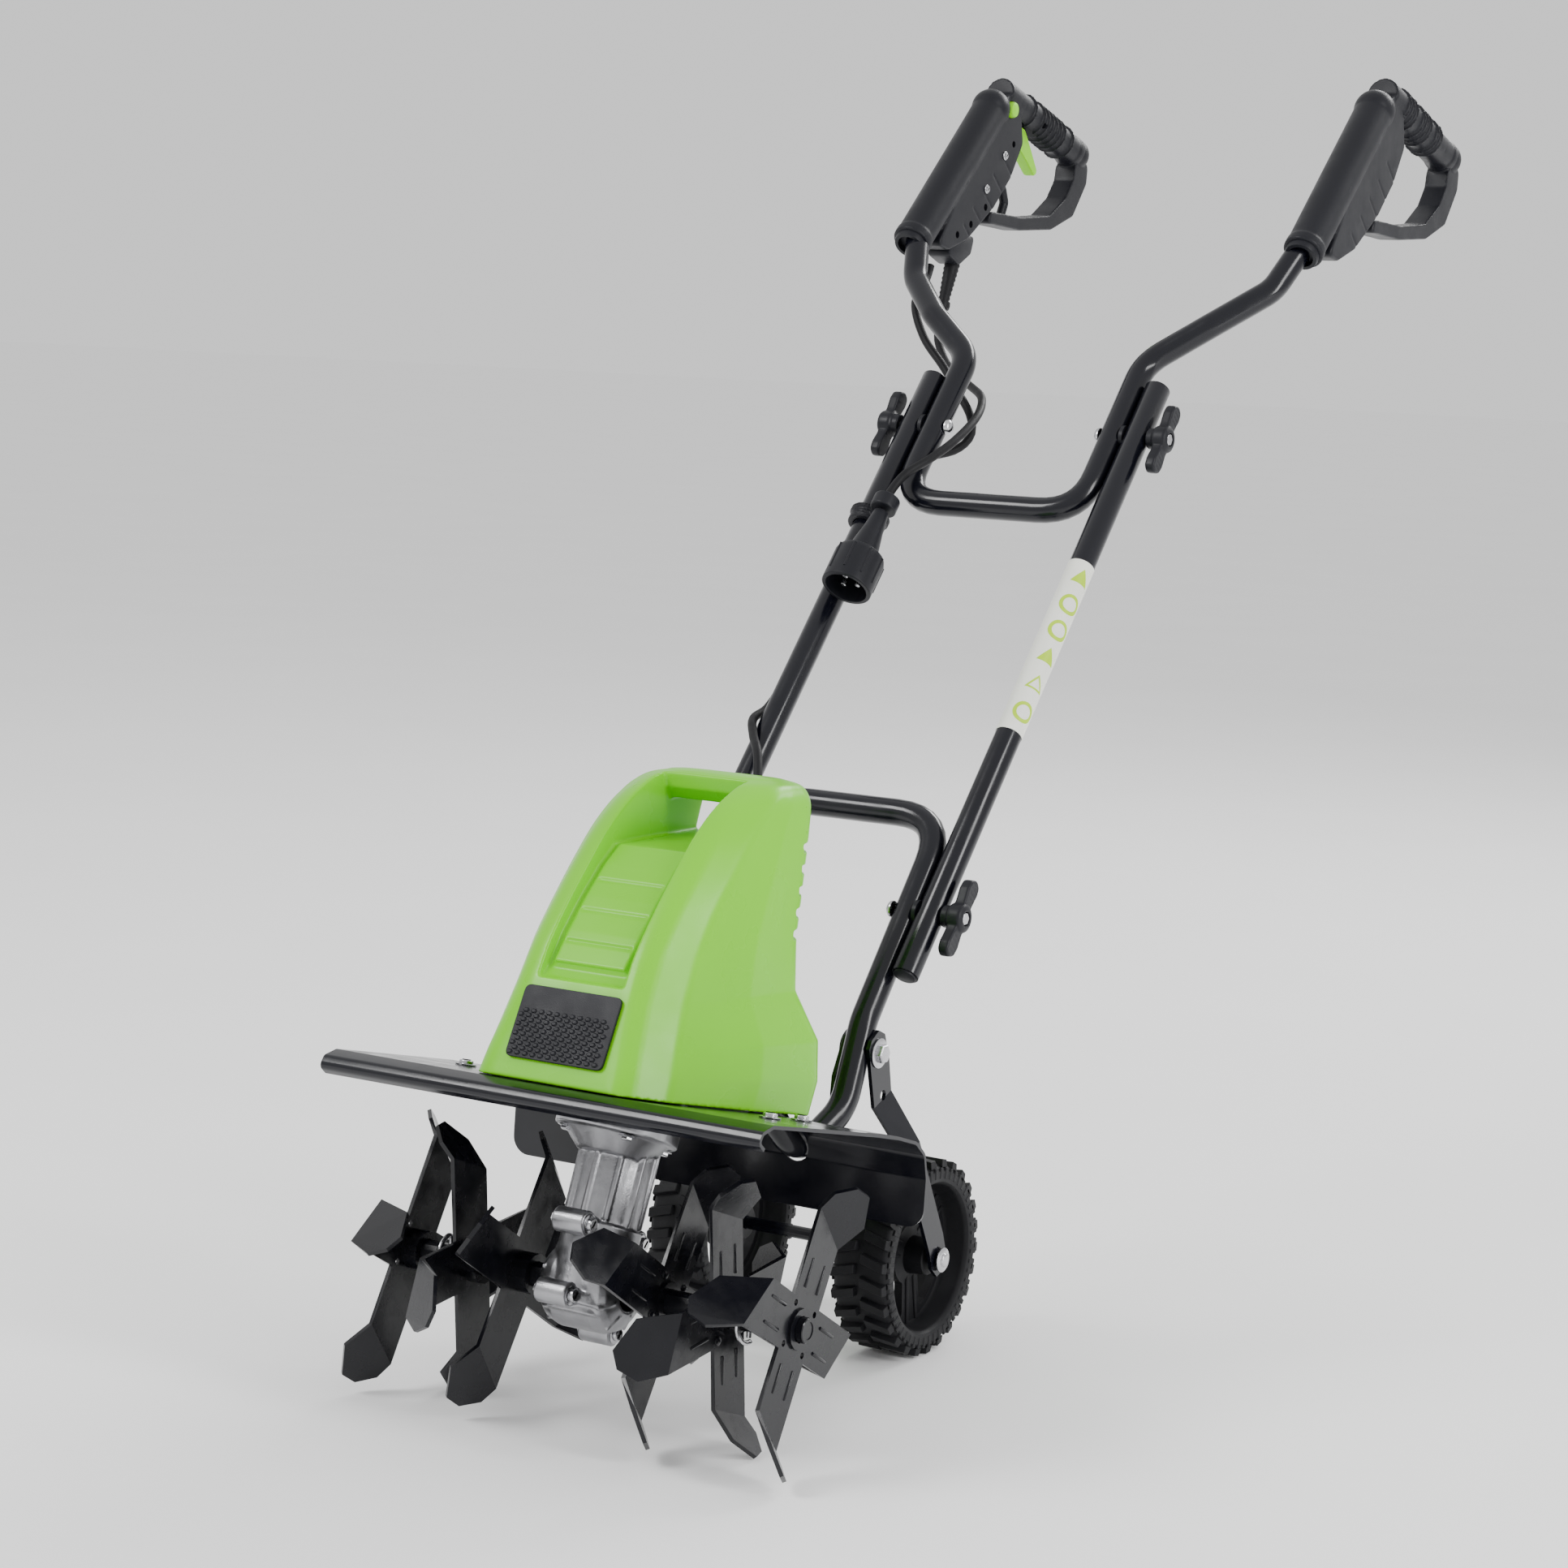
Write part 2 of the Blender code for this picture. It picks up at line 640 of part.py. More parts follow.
# --- frame ---------------------------------------------------------------------------
def frame_path():
    top_z = 405
    half = [
        (INNER_X, on_tube(top_z), top_z),
        (INNER_X, 225, 266),
        (INNER_X, 200, 205),
        (70, 158, 176),
        (62, 114, 224),
    ]
    return rounded(list(reversed(half)) + mirrored(half), 42)


def handle_half():
    low_z = 630
    return [
        (INNER_X, on_tube(low_z), low_z),
        (INNER_X, on_tube(748), 748),
        (128, 664, 781),
        (167, 697, 812),
        (180, 722, 848),
        (GRIP_X, 790, 911),
    ]


def handle_path():
    half = handle_half()
    return rounded(list(reversed(half)) + mirrored(half), 38)


def drill_pair(target, name, y, z, radius):
    for side in (-1, 1):
        drill(target, f"{name}_{side}", side * 60, side * 140, y, z, radius)


def build_frame():
    frame = solid("lower_frame", sweep_bm(frame_path(), TUBE_RADIUS, bore=TUBE_BORE), "black_paint")
    drill_pair(frame, "frame_hole", *LOWER_PIVOT, 3.0 + GAP)
    for side, word in ((-1, "left"), (1, "right")):
        x = side * MIDDLE_X
        tube = sweep_bm([(x, on_tube(300), 300), (x, on_tube(729), 729)], TUBE_RADIUS, 10, TUBE_BORE)
        made = solid(f"middle_tube_{word}", tube, "black_paint")
        for k, (y, z) in enumerate((LOWER_PIVOT, UPPER_PIVOT)):
            drill(made, f"tube_hole_{word}_{k}", side * 60, side * 140, y, z, 3.0 + GAP)


def build_upper_handle():
    handle = solid("upper_handle", sweep_bm(handle_path(), TUBE_RADIUS, bore=TUBE_BORE), "black_paint")
    drill_pair(handle, "handle_hole", *UPPER_PIVOT, 3.0 + GAP)


def drill(target, name, x0, x1, y, z, radius):
    return combine(target, solid(name, rod_bm((x0, y, z), (x1, y, z), radius, 10), None), "DIFFERENCE")


def build_bolts():
    for level, (y, z) in (("lower", LOWER_PIVOT), ("upper", UPPER_PIVOT)):
        for side, word in ((-1, "left"), (1, "right")):
            inner = side * (INNER_X - TUBE_RADIUS - GAP)
            tip = side * 131.0
            head = side * (INNER_X - TUBE_RADIUS - 5.0)
            points = [(head, 0), (head, 6.5), (inner, 6.5), (inner, 3.0), (tip, 3.0), (tip, 0)]
            if side < 0:
                points = points[::-1]
            solid(f"{level}_bolt_{word}", turned(points, 12), "steel", (0, y, z))
            build_knob(f"{level}_knob_{word}", side, y, z)


def build_knob(name, side, y, z):
    base = side * (MIDDLE_X + TUBE_RADIUS + 0.6)
    shapes = [(0, 8.5), (6, 8.5), (7, 11), (17, 11)]
    points = [(0, 0)] + shapes + [(19, 9), (19, 0)]
    points = [(base + side * x, r) for x, r in points]
    if side < 0:
        points = points[::-1]
    hub = solid(name, turned(points, 12), "black_plastic", (0, y, z), (math.radians(-38), 0, 0))
    for end in (-1, 1):
        outline = [(-7, 0), (7, 0), (6.5, 12), (8.5, 28), (5, 32), (-3, 32), (-8, 26), (-9, 12)]
        outline = [(y0 * end, z0 * end) for y0, z0 in outline]
        x0, x1 = sorted((base + side * 7.5, base + side * 16.5))
        turn = (math.radians(-38), 0, 0)
        wing = solid(f"{name}_wing_{end}", plate_bm(outline, x0, x1), None, (0, y, z), turn)
        combine(hub, wing, "UNION")
    hole = rod_bm((base - side * 5, 0, 0), (base + side * 17.2, 0, 0), 3.3, 12)
    combine(hub, solid(f"{name}_bore", hole, None, (0, y, z)), "DIFFERENCE")


# --- grips ---------------------------------------------------------------------------
SLEEVE_FOOT = Vector((0, 716, 843))
SLEEVE_HEAD = Vector((0, 846, 962))
LOCK_PLACE = (866, 966)
TRIGGER_PIVOT = (898, 950)


def grip_body(name, x, with_switch):
    """Closed D-handle: sleeve on the tube, round hand bar, leg and bottom bar."""
    along = (SLEEVE_HEAD - SLEEVE_FOOT).normalized()
    at = Vector((x, 0, 0))
    body = solid(name, rod_bm(SLEEVE_FOOT + at, SLEEVE_HEAD + at, 17.5, 14), "black_plastic")
    dome = bmesh.new()
    bmesh.ops.create_uvsphere(dome, u_segments=12, v_segments=6, radius=18.6 * MM)
    nose = solid(name + "_dome", dome, None, SLEEVE_HEAD + at + along * 6)
    combine(body, nose, "UNION")
    side_block = [(742, 842), (762, 838), (795, 848), (842, 878), (872, 906), (893, 938),
                  (886, 968), (866, 982), (835, 962)]
    block = solid(name + "_block", plate_bm(side_block, x - 13.5, x + 13.5, 2.0), None)
    combine(body, block, "UNION")
    bar = rod_bm(Vector((x, 866, 981)), Vector((x, 1016, 935)), 15.0, 12)
    combine(body, solid(name + "_bar", bar, None), "UNION")
    elbow = bmesh.new()
    bmesh.ops.create_uvsphere(elbow, u_segments=12, v_segments=6, radius=15.8 * MM)
    combine(body, solid(name + "_elbow", elbow, None, (x, 1016, 934.5)), "UNION")
    leg = [(1002, 926), (1030, 928), (1028, 908), (1002, 876), (960, 862), (836, 862), (840, 877),
           (956, 878), (984, 893), (998, 910)]
    combine(body, solid(name + "_leg", plate_bm(leg, x - 11, x + 11, 2.0), None), "UNION")
    inside = [p for p in handle_path() if p.x * x > 0 and abs(p.x) > 140]
    if x < 0:
        inside.reverse()
    inside.append(inside[-1] + (inside[-1] - inside[-2]).normalized())
    tube = sweep_bm(inside, TUBE_RADIUS + 0.9, 10)
    combine(body, solid(name + "_tube_way", tube, None), "DIFFERENCE")
    if with_switch:
        pocket = plate_bm([(872, 919), (911, 906), (934, 944), (918, 962), (874, 963)], x - 6.0, x + 6.0)
        combine(body, solid(name + "_trigger_pocket", pocket, None), "DIFFERENCE")
        seat = rod_bm((x + 0.8, *LOCK_PLACE), (x + 30, *LOCK_PLACE), 7.8, 14)
        combine(body, solid(name + "_button_seat", seat, None), "DIFFERENCE")
    return body


def build_grips():
    grip_body("grip_right", GRIP_X, False)
    grip_body("grip_left", -GRIP_X, True)
    x = -GRIP_X
    finger = [(880, 953), (890, 957), (908, 951), (920, 936), (936, 914), (931, 910), (914, 923), (898, 934),
              (881, 940)]
    solid("trigger", plate_bm(finger, x - 5.5, x + 5.5, 1.5), "lime")
    button = turned([(4.6, 0), (4.6, 7.2), (15.6, 7.2), (17.6, 5.6), (17.6, 0)], 12)
    solid("lock_button", button, "lime", (x, *LOCK_PLACE))


# --- wheels --------------------------------------------------------------------------
def build_wheel(name, side):
    half = WHEEL_WIDTH / 2
    loop = [(-half, 5.3), (-half, 13), (-4, 13.5), (-4, 55.5), (-half + 2, 56), (-half, 60), (-half, 70),
            (-half + 5, WHEEL_RADIUS), (half - 5, WHEEL_RADIUS), (half, 70), (half, 60), (half - 2, 56),
            (2, 55.5), (2, 13.5), (half - 2, 13), (half - 2, 5.3)]
    bm = ring_bm(loop, 20)
    place = (side * WHEEL_X, WHEEL_Y, WHEEL_RADIUS)
    wheel = solid(name, bm, "rubber", place)
    for k in range(3):
        a = math.radians(97 + 120 * k)
        spot = (35 * math.cos(a), 35 * math.sin(a))
        window = rod_bm((-30, *spot), (30, *spot), 15.5, 9)
        combine(wheel, solid(f"{name}_window_{k}", window, None, place), "DIFFERENCE")
    return wheel


def wheel_leg(name, side):
    """Bent flat strip from the frame tube down and outwards past the wheel."""
    py, pz = CARRIAGE_PIVOT
    near, far = 94.0, 110.0
    route = [
        (near, py - 6, pz + 14, 6),
        (near, py - 3, pz + 9, 12),
        (near, py + 3, pz - 10, 13.5),
        (near, py + 9, pz - 36, 13),
        (far, py + 29, pz - 76, 11.5),
        (far, WHEEL_Y - 6, WHEEL_RADIUS + 14, 11.5),
        (far, WHEEL_Y, WHEEL_RADIUS - 2, 11.5),
        (far, WHEEL_Y + 3, WHEEL_RADIUS - 11, 6),
    ]
    rings = []
    for k, (x, y, z, half) in enumerate(route):
        a = route[max(k - 1, 0)]
        b = route[min(k + 1, len(route) - 1)]
        across = Vector((0, -(b[2] - a[2]), b[1] - a[1])).normalized() * half
        centre = Vector((x * side, y, z))
        thick = Vector((1.5, 0, 0))
        rings.append([centre + across + thick, centre + across - thick,
                      centre - across - thick, centre - across + thick])
    return solid(name, rings_bm(rings), "black_paint")


def turned_side(name, points, side, look, at, count=12):
    """Turned piece on one side of the machine; points run outwards."""
    points = [(side * x, r) for x, r in points]
    return solid(name, turned(points if side > 0 else points[::-1], count), look, at)


def build_carriage():
    build_wheel("wheel_left", -1)
    build_wheel("wheel_right", 1)
    axle = turned([(-113.4, 0), (-113.4, 5), (113.4, 5), (113.4, 0)], 12)
    solid("wheel_axle", axle, "steel", (0, WHEEL_Y, WHEEL_RADIUS))
    py, pz = CARRIAGE_PIVOT
    for side, word in ((-1, "left"), (1, "right")):
        made = wheel_leg(f"wheel_leg_{word}", side)
        drill(made, f"leg_axle_hole_{word}", side * 80, side * 140, WHEEL_Y, WHEEL_RADIUS, 5.3)
        drill(made, f"leg_pivot_hole_{word}", side * 80, side * 140, py, pz, 4.4)
        drill(made, f"leg_lock_hole_{word}", side * 80, side * 140, py + 9, pz - 33, 4.0)
        shank = [(92.2, 0), (92.2, 4.0), (95.8, 4.0), (95.8, 8.5), (102, 8.5), (102, 0)]
        turned_side(f"carriage_bolt_{word}", shank, side, "steel", (0, py, pz), 6)
        cap = [(113.8, 0), (113.8, 9), (116.4, 8), (117.6, 0)]
        turned_side(f"hub_cap_{word}", cap, side, "steel", (0, WHEEL_Y, WHEEL_RADIUS))


# --- electrics -----------------------------------------------------------------------
MOTOR_CABLE = (
    (-183, 752, 824), (-181, 742, 812), (-172, 708, 790), (-152, 690, 762), (-124, 676, 738), (-101, 664, 716),
    (-86, 658, 698), (-81, 651, 682), (-87, 638, 670), (-100, 618, 664), (-113, 598, 658), (-121, 572, 646),
    (-121, 548, 622), (-119.5, 510, 580), (-119.5, 470, 534), (-120, 436, 493), (-120, 405, 467),
    (-115, 374, 460), (-101, 352, 450),
    (-80, 326, 434), (-62, 292, 390), (-55, 246, 330), (-51, 204, 296), (-50, 172, 287), (-50, 146, 286),
)
INLET_LEAD = (
    (-183, 774, 776), (-180, 766, 760), (-162, 748, 742), (-130, 712, 730), (-104, 690, 722), (-78, 662, 713),
    (-63, 626, 698), (-60, 586, 680), (-65, 554, 665), (-74, 531, 653),
)


def build_electrics():
    tube = Vector((0, UPPER_PIVOT[0] - LOWER_PIVOT[0], UPPER_PIVOT[1] - LOWER_PIVOT[1])).normalized()
    front = Vector((0, -tube.z, tube.y))
    seat = Vector((-78, 459, 576))
    mouth = seat - tube * 18
    cup = solid("inlet_cup", rod_bm(mouth, seat + tube * 18, 21, 18), "black_plastic")
    combine(cup, solid("cup_room", rod_bm(mouth - tube * 5, seat + tube * 10, 17.5, 18), None), "DIFFERENCE")
    neck = rod_bm(seat + tube * 16, seat + tube * 61, 12, 14, 6)
    combine(cup, solid("cup_neck", neck, None), "UNION")
    for k in range(3):
        a = math.radians(90 + 120 * k)
        side = Vector((1, 0, 0)) * math.cos(a) + front * math.sin(a)
        pin = rod_bm(mouth + tube * 6 + side * 7.5, seat + tube * 12 + side * 7.5, 2.2, 8)
        combine(cup, solid(f"cup_pin_{k}", pin, None), "UNION")
    clip_at = Vector((-MIDDLE_X, on_tube(613), 613))
    arm = seat + tube * (clip_at - seat).dot(tube)
    clip = solid("cable_clip", rod_bm(clip_at - tube * 6, clip_at + tube * 6, 15.5, 14), "black_plastic")
    combine(clip, solid("clip_arm", rod_bm(arm - tube * 6, arm + tube * 6, 11, 12), None), "UNION")
    combine(clip, solid("clip_bridge", rod_bm(clip_at, arm, 4.5, 8), None), "UNION")
    tube_way = rod_bm(clip_at - tube * 20, clip_at + tube * 20, TUBE_RADIUS + 0.8, 12)
    combine(clip, solid("clip_tube_way", tube_way, None), "DIFFERENCE")
    head = Vector((-GRIP_X, 794, 834))
    solid("strain_relief", rod_bm(head, head + Vector((0, -16, -42)), 8, 12, 5), "rubber")
    curve_tube("motor_cable", smooth_route(MOTOR_CABLE, 22), CORD_RADIUS, "rubber", 2)
    route = [head + Vector((0, -16.2, -42.5))] + list(INLET_LEAD) + [arm + tube * 16, arm + tube * 6.4]
    curve_tube("inlet_lead", smooth_route(route, 20), CORD_RADIUS, "rubber", 2)


# --- joint axes ----------------------------------------------------------------------
AXES = (
    ("tine_axis", (0, 0, AXLE_Z), "tine_ worm_wheel hitch_pin"),
    ("motor_axis", (0, 0, AXLE_Z), "motor_rotor motor_fan worm_shaft"),
    ("carriage_axis", (0, *CARRIAGE_PIVOT), "wheel_leg wheel_axle hub_cap"),
    ("lower_fold_axis", (0, *LOWER_PIVOT), "middle_tube cable_clip inlet_cup upper_bolt"),
    ("upper_fold_axis", (0, *UPPER_PIVOT), "upper_handle grip_ strain_relief"),
    ("trigger_axis", (-GRIP_X, *TRIGGER_PIVOT), "trigger"),
)


def place_on_axes():
    """Hang every piece from its joint's empty, and the whole machine from one centred empty."""
    machine = add_object("machine", None, None, (0, -CENTRE_Y, 0))
    pieces = [item for item in bpy.data.objects if item.type in ("MESH", "CURVE")]
    for name, place, starts in AXES:
        axis = add_object(name, None, None, place)
        axis.parent = machine
        for item in pieces:
            fits = item.name.startswith(tuple(starts.split())) and item.name != "tine_shield"
            if item.parent is None and fits and item.display_type != "WIRE":
                item.parent = axis
                item.location -= axis.location
    for item in pieces:
        if item.parent is None:
            item.parent = machine


def main():
    clear_scene()
    build_tines()
    build_gearbox()
    build_motor()
    build_cover()
    build_label_plate()
    build_shield()
    build_frame()
    build_bolts()
    build_upper_handle()
    build_grips()
    build_carriage()
    build_electrics()
    place_on_axes()


main()
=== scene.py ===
"""Looks of the mini cultivator: camera, light, materials and the detailed visible pieces."""
import math
import bmesh
import bpy
from mathutils import Matrix, Vector


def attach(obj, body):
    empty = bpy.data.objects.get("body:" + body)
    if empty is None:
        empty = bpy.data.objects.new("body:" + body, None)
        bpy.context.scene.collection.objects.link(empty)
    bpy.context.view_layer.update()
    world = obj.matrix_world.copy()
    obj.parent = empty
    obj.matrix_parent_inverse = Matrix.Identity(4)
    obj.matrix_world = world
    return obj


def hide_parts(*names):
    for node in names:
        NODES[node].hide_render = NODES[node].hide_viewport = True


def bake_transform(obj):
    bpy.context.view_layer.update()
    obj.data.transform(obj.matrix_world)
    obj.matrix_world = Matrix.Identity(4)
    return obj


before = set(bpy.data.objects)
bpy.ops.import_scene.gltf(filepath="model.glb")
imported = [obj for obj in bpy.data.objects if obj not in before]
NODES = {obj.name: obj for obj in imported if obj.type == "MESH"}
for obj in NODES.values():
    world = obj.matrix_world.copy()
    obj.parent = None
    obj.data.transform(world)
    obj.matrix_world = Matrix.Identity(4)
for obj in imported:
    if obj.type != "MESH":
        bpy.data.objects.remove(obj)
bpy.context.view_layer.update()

CENTRE_Y = 470.2
SIDES = ((-1, "left"), (1, "right"))


def mm(p):
    """Point in the machine's own millimetres turned into row-frame metres."""
    return Vector((p[0], p[1] - CENTRE_Y, p[2])) / 1000


# --- camera and light ----------------------------------------------------------------
SENSOR = 36.0
FOCAL_SHARE = 4423 / 1932
CAMERA_PLACE = (1362.8, -2027.5, 783.5)
CAMERA_TURN = (31.074, 7.569, 2.225)


def make_camera():
    """Camera at a bearing, a height angle and a slight roll, all in degrees."""
    a, e, roll = (math.radians(v) for v in CAMERA_TURN)
    right = Vector((math.cos(a), math.sin(a), 0))
    back = Vector((math.sin(a) * math.cos(e), -math.cos(a) * math.cos(e), math.sin(e)))
    up = back.cross(right)
    right_r = right * math.cos(roll) + up * math.sin(roll)
    up_r = up * math.cos(roll) - right * math.sin(roll)
    data = bpy.data.cameras.new("camera")
    data.lens = FOCAL_SHARE * SENSOR
    data.sensor_width = SENSOR
    data.clip_end = 50
    camera = bpy.data.objects.new("camera", data)
    bpy.context.scene.collection.objects.link(camera)
    turn = Matrix((right_r, up_r, back)).transposed().to_4x4()
    camera.matrix_world = Matrix.Translation(mm(CAMERA_PLACE)) @ turn
    bpy.context.scene.camera = camera


def area_light(name, place, target, size, power):
    data = bpy.data.lights.new(name, "AREA")
    data.shape = "RECTANGLE"
    data.size, data.size_y = size
    data.energy = power
    light = bpy.data.objects.new(name, data)
    bpy.context.scene.collection.objects.link(light)
    light.location = place
    light.rotation_euler = (Vector(target) - Vector(place)).to_track_quat("-Z", "Y").to_euler()


def make_stage():
    world = bpy.data.worlds.new("studio")
    world.use_nodes = True
    bg = world.node_tree.nodes["Background"]
    bg.inputs["Color"].default_value = (1, 1, 1, 1)
    bg.inputs["Strength"].default_value = 0.95
    bpy.context.scene.world = world
    aim = (0, -0.1, 0.4)
    area_light("key", (-1.6, -2.4, 2.8), aim, (1.2, 1.2), 70)
    area_light("side", (2.8, -0.6, 1.5), aim, (0.6, 2.2), 60)
    area_light("rim", (0.4, 2.8, 2.4), aim, (2.2, 0.8), 60)
    bm = bmesh.new()
    bmesh.ops.create_grid(bm, x_segments=2, y_segments=2, size=30)
    data = bpy.data.meshes.new("floor")
    bm.to_mesh(data)
    bm.free()
    floor = bpy.data.objects.new("floor", data)
    floor.location = (0, 0, -0.0005)
    bpy.context.scene.collection.objects.link(floor)
    data.materials.append(surface("floor_paper", (0.97, 0.97, 0.97), 0.95, grain=(40, 0.02),
                                  mottle=(3, 0.01)))


# --- materials -----------------------------------------------------------------------
FINISHES = {}


def surface(name, colour, rough, metal=0.0, grain=(900, 0.1), mottle=(18, 0.06), rough_vary=0.06,
            coat=0.0, specular=0.5, cells=False):
    """Principled material with fine bump, slow colour drift and uneven roughness."""
    if name in FINISHES:
        return FINISHES[name]
    made = bpy.data.materials.new(name + "_finish")
    FINISHES[name] = made
    made.use_nodes = True
    tree = made.node_tree
    shader = tree.nodes["Principled BSDF"]
    shader.inputs["Metallic"].default_value = metal
    shader.inputs["Specular IOR Level"].default_value = specular
    shader.inputs["Coat Weight"].default_value = coat
    shader.inputs["Coat Roughness"].default_value = 0.12
    place = tree.nodes.new("ShaderNodeTexCoord")

    def noise(scale, detail=3.0):
        node = tree.nodes.new("ShaderNodeTexNoise")
        node.inputs["Scale"].default_value = scale
        node.inputs["Detail"].default_value = detail
        tree.links.new(place.outputs["Object"], node.inputs["Vector"])
        return node.outputs["Fac"]

    def ramp(source, low, high, start=0.3, end=0.7):
        node = tree.nodes.new("ShaderNodeMapRange")
        tree.links.new(source, node.inputs["Value"])
        node.inputs["From Min"].default_value = start
        node.inputs["From Max"].default_value = end
        node.inputs["To Min"].default_value = low
        node.inputs["To Max"].default_value = high
        return node.outputs["Result"]

    def mix(factor, first, second):
        node = tree.nodes.new("ShaderNodeMix")
        node.data_type = "RGBA"
        tree.links.new(factor, node.inputs["Factor"])
        for slot, value in ((6, first), (7, second)):
            if isinstance(value, tuple):
                node.inputs[slot].default_value = (*value, 1)
            else:
                tree.links.new(value, node.inputs[slot])
        return node.outputs[2]

    drift = mottle[1]
    dark = tuple(c * (1 - drift) for c in colour)
    light = tuple(min(1, c * (1 + drift)) for c in colour)
    tone = mix(ramp(noise(mottle[0]), 0, 1), dark, light)
    tree.links.new(tone, shader.inputs["Base Color"])
    tree.links.new(ramp(noise(mottle[0] * 3.1), rough - rough_vary, rough + rough_vary),
                   shader.inputs["Roughness"])
    bump = tree.nodes.new("ShaderNodeBump")
    bump.inputs["Strength"].default_value = grain[1]
    bump.inputs["Distance"].default_value = 0.0006
    if cells:
        cell = tree.nodes.new("ShaderNodeTexVoronoi")
        cell.inputs["Scale"].default_value = grain[0]
        tree.links.new(place.outputs["Object"], cell.inputs["Vector"])
        tree.links.new(cell.outputs["Distance"], bump.inputs["Height"])
    else:
        tree.links.new(noise(grain[0], 2.0), bump.inputs["Height"])
    tree.links.new(bump.outputs["Normal"], shader.inputs["Normal"])
    return made


LOOKS = {
    "green_shell": dict(colour=(0.17, 0.60, 0.0), rough=0.3, grain=(420, 0.03), mottle=(7, 0.03),
                        specular=0.3),
    "black_plastic": dict(colour=(0.0075, 0.0078, 0.011), rough=0.42, grain=(1500, 0.08), cells=True,
                          specular=0.25),
    "black_paint": dict(colour=(0.0030, 0.0033, 0.0065), rough=0.2, grain=(320, 0.03), specular=0.35,
                        coat=0.1),
    "tine_paint": dict(colour=(0.0035, 0.0037, 0.006), rough=0.25, grain=(240, 0.05), rough_vary=0.07,
                       mottle=(26, 0.25), specular=0.4),
    "die_cast": dict(colour=(0.36, 0.36, 0.375), rough=0.36, metal=1.0, grain=(900, 0.2), mottle=(60, 0.14)),
    "steel": dict(colour=(0.55, 0.55, 0.57), rough=0.24, metal=1.0, grain=(700, 0.12), mottle=(90, 0.12)),
    "bronze": dict(colour=(0.55, 0.36, 0.16), rough=0.4, metal=1.0, grain=(500, 0.15)),
    "lime": dict(colour=(0.24, 0.68, 0.0), rough=0.34, grain=(700, 0.06), specular=0.3),
    "rubber": dict(colour=(0.0045, 0.0045, 0.0058), rough=0.55, grain=(1100, 0.12), mottle=(30, 0.2),
                   specular=0.25),
    "tyre": dict(colour=(0.0045, 0.0046, 0.0060), rough=0.55, grain=(800, 0.15), mottle=(22, 0.2),
                 specular=0.25),
    "label": dict(colour=(0.80, 0.81, 0.74), rough=0.42, grain=(600, 0.04)),
    "label_lime": dict(colour=(0.42, 0.66, 0.0), rough=0.42, grain=(600, 0.04)),
    # painted shade: near-black, rough stand-in for the shade inside the screw slots
    "painted_slot_shade": dict(colour=(0.003, 0.003, 0.003), rough=0.9, grain=(300, 0.1), specular=0.1),
}


def look(name):
    return surface(name, **LOOKS[name])


# --- mesh helpers (all sizes in millimetres) -----------------------------------------
def link(name, data):
    made = bpy.data.objects.new(name, data)
    bpy.context.scene.collection.objects.link(made)
    return made


def mesh_object(name, bm, smooth_angle=40):
    bmesh.ops.recalc_face_normals(bm, faces=bm.faces[:])
    if bm.calc_volume(signed=True) < 0:
        bmesh.ops.reverse_faces(bm, faces=bm.faces[:])
    data = bpy.data.meshes.new(name)
    bm.to_mesh(data)
    bm.free()
    data.shade_smooth()
    data.set_sharp_from_angle(angle=math.radians(smooth_angle))
    return link(name, data)


def dress(item, mat):
    item.data.materials.clear()
    item.data.materials.append(look(mat))


def soften(item, width, segments, angle):
    """Bevel on the edges sharper than an angle in degrees."""
    step = item.modifiers.new("bevel", "BEVEL")
    step.width = width / 1000
    step.segments = segments
    step.limit_method = "ANGLE"
    step.angle_limit = math.radians(angle)
    return step


def carve(made, other, operation="DIFFERENCE"):
    step = made.modifiers.new("b", "BOOLEAN")
    step.operation = operation
    step.solver = "EXACT"
    step.object = other


def prism(bm, low, high):
    """Closed block between two rings of corners."""
    low = [bm.verts.new(mm(p)) for p in low]
    high = [bm.verts.new(mm(p)) for p in high]
    bm.faces.new(low[::-1])
    bm.faces.new(high)
    for j in range(len(low)):
        m = (j + 1) % len(low)
        bm.faces.new((low[j], low[m], high[m], high[j]))


def piece(name, bm, mat, body, replaces=(), bevel=0.0, smooth_angle=40, segments=3):
    """Finished visible piece riding on a body."""
    made = bm if isinstance(bm, bpy.types.Object) else mesh_object(name, bm, smooth_angle)
    made.name = name
    dress(made, mat)
    if bevel:
        soften(made, bevel, segments, 32).harden_normals = True
    if body:
        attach(made, body)
    if replaces:
        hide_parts(*replaces)
    return made


def rings_bm(rings, caps=True, loop=False):
    bm = bmesh.new()
    rows = [[bm.verts.new(mm(p)) for p in ring] for ring in rings]
    pairs = list(zip(rows[:-1], rows[1:]))
    if loop:
        pairs.append((rows[-1], rows[0]))
    for low, high in pairs:
        count = len(low)
        for i in range(count):
            j = (i + 1) % count
            bm.faces.new((low[i], low[j], high[j], high[i]))
    if caps and not loop:
        bm.faces.new(list(reversed(rows[0])))
        bm.faces.new(rows[-1])
    return bm


def spun(profile, start, along, count=48, loop=False):
    """Solid turned about an axis through start; profile holds (distance, radius)."""
    along = Vector(along).normalized()
    side = Vector((1, 0, 0)) if abs(along.x) < 0.9 else Vector((0, 1, 0))
    side = (side - along * side.dot(along)).normalized()
    up = along.cross(side)
    rings = []
    for d, r in profile:
        centre = Vector(start) + along * d
        r = max(r, 0.02)
        rings.append([centre + side * (r * math.cos(t)) + up * (r * math.sin(t))
                      for t in (2 * math.pi * k / count for k in range(count))])
    return rings_bm(rings, True, loop)


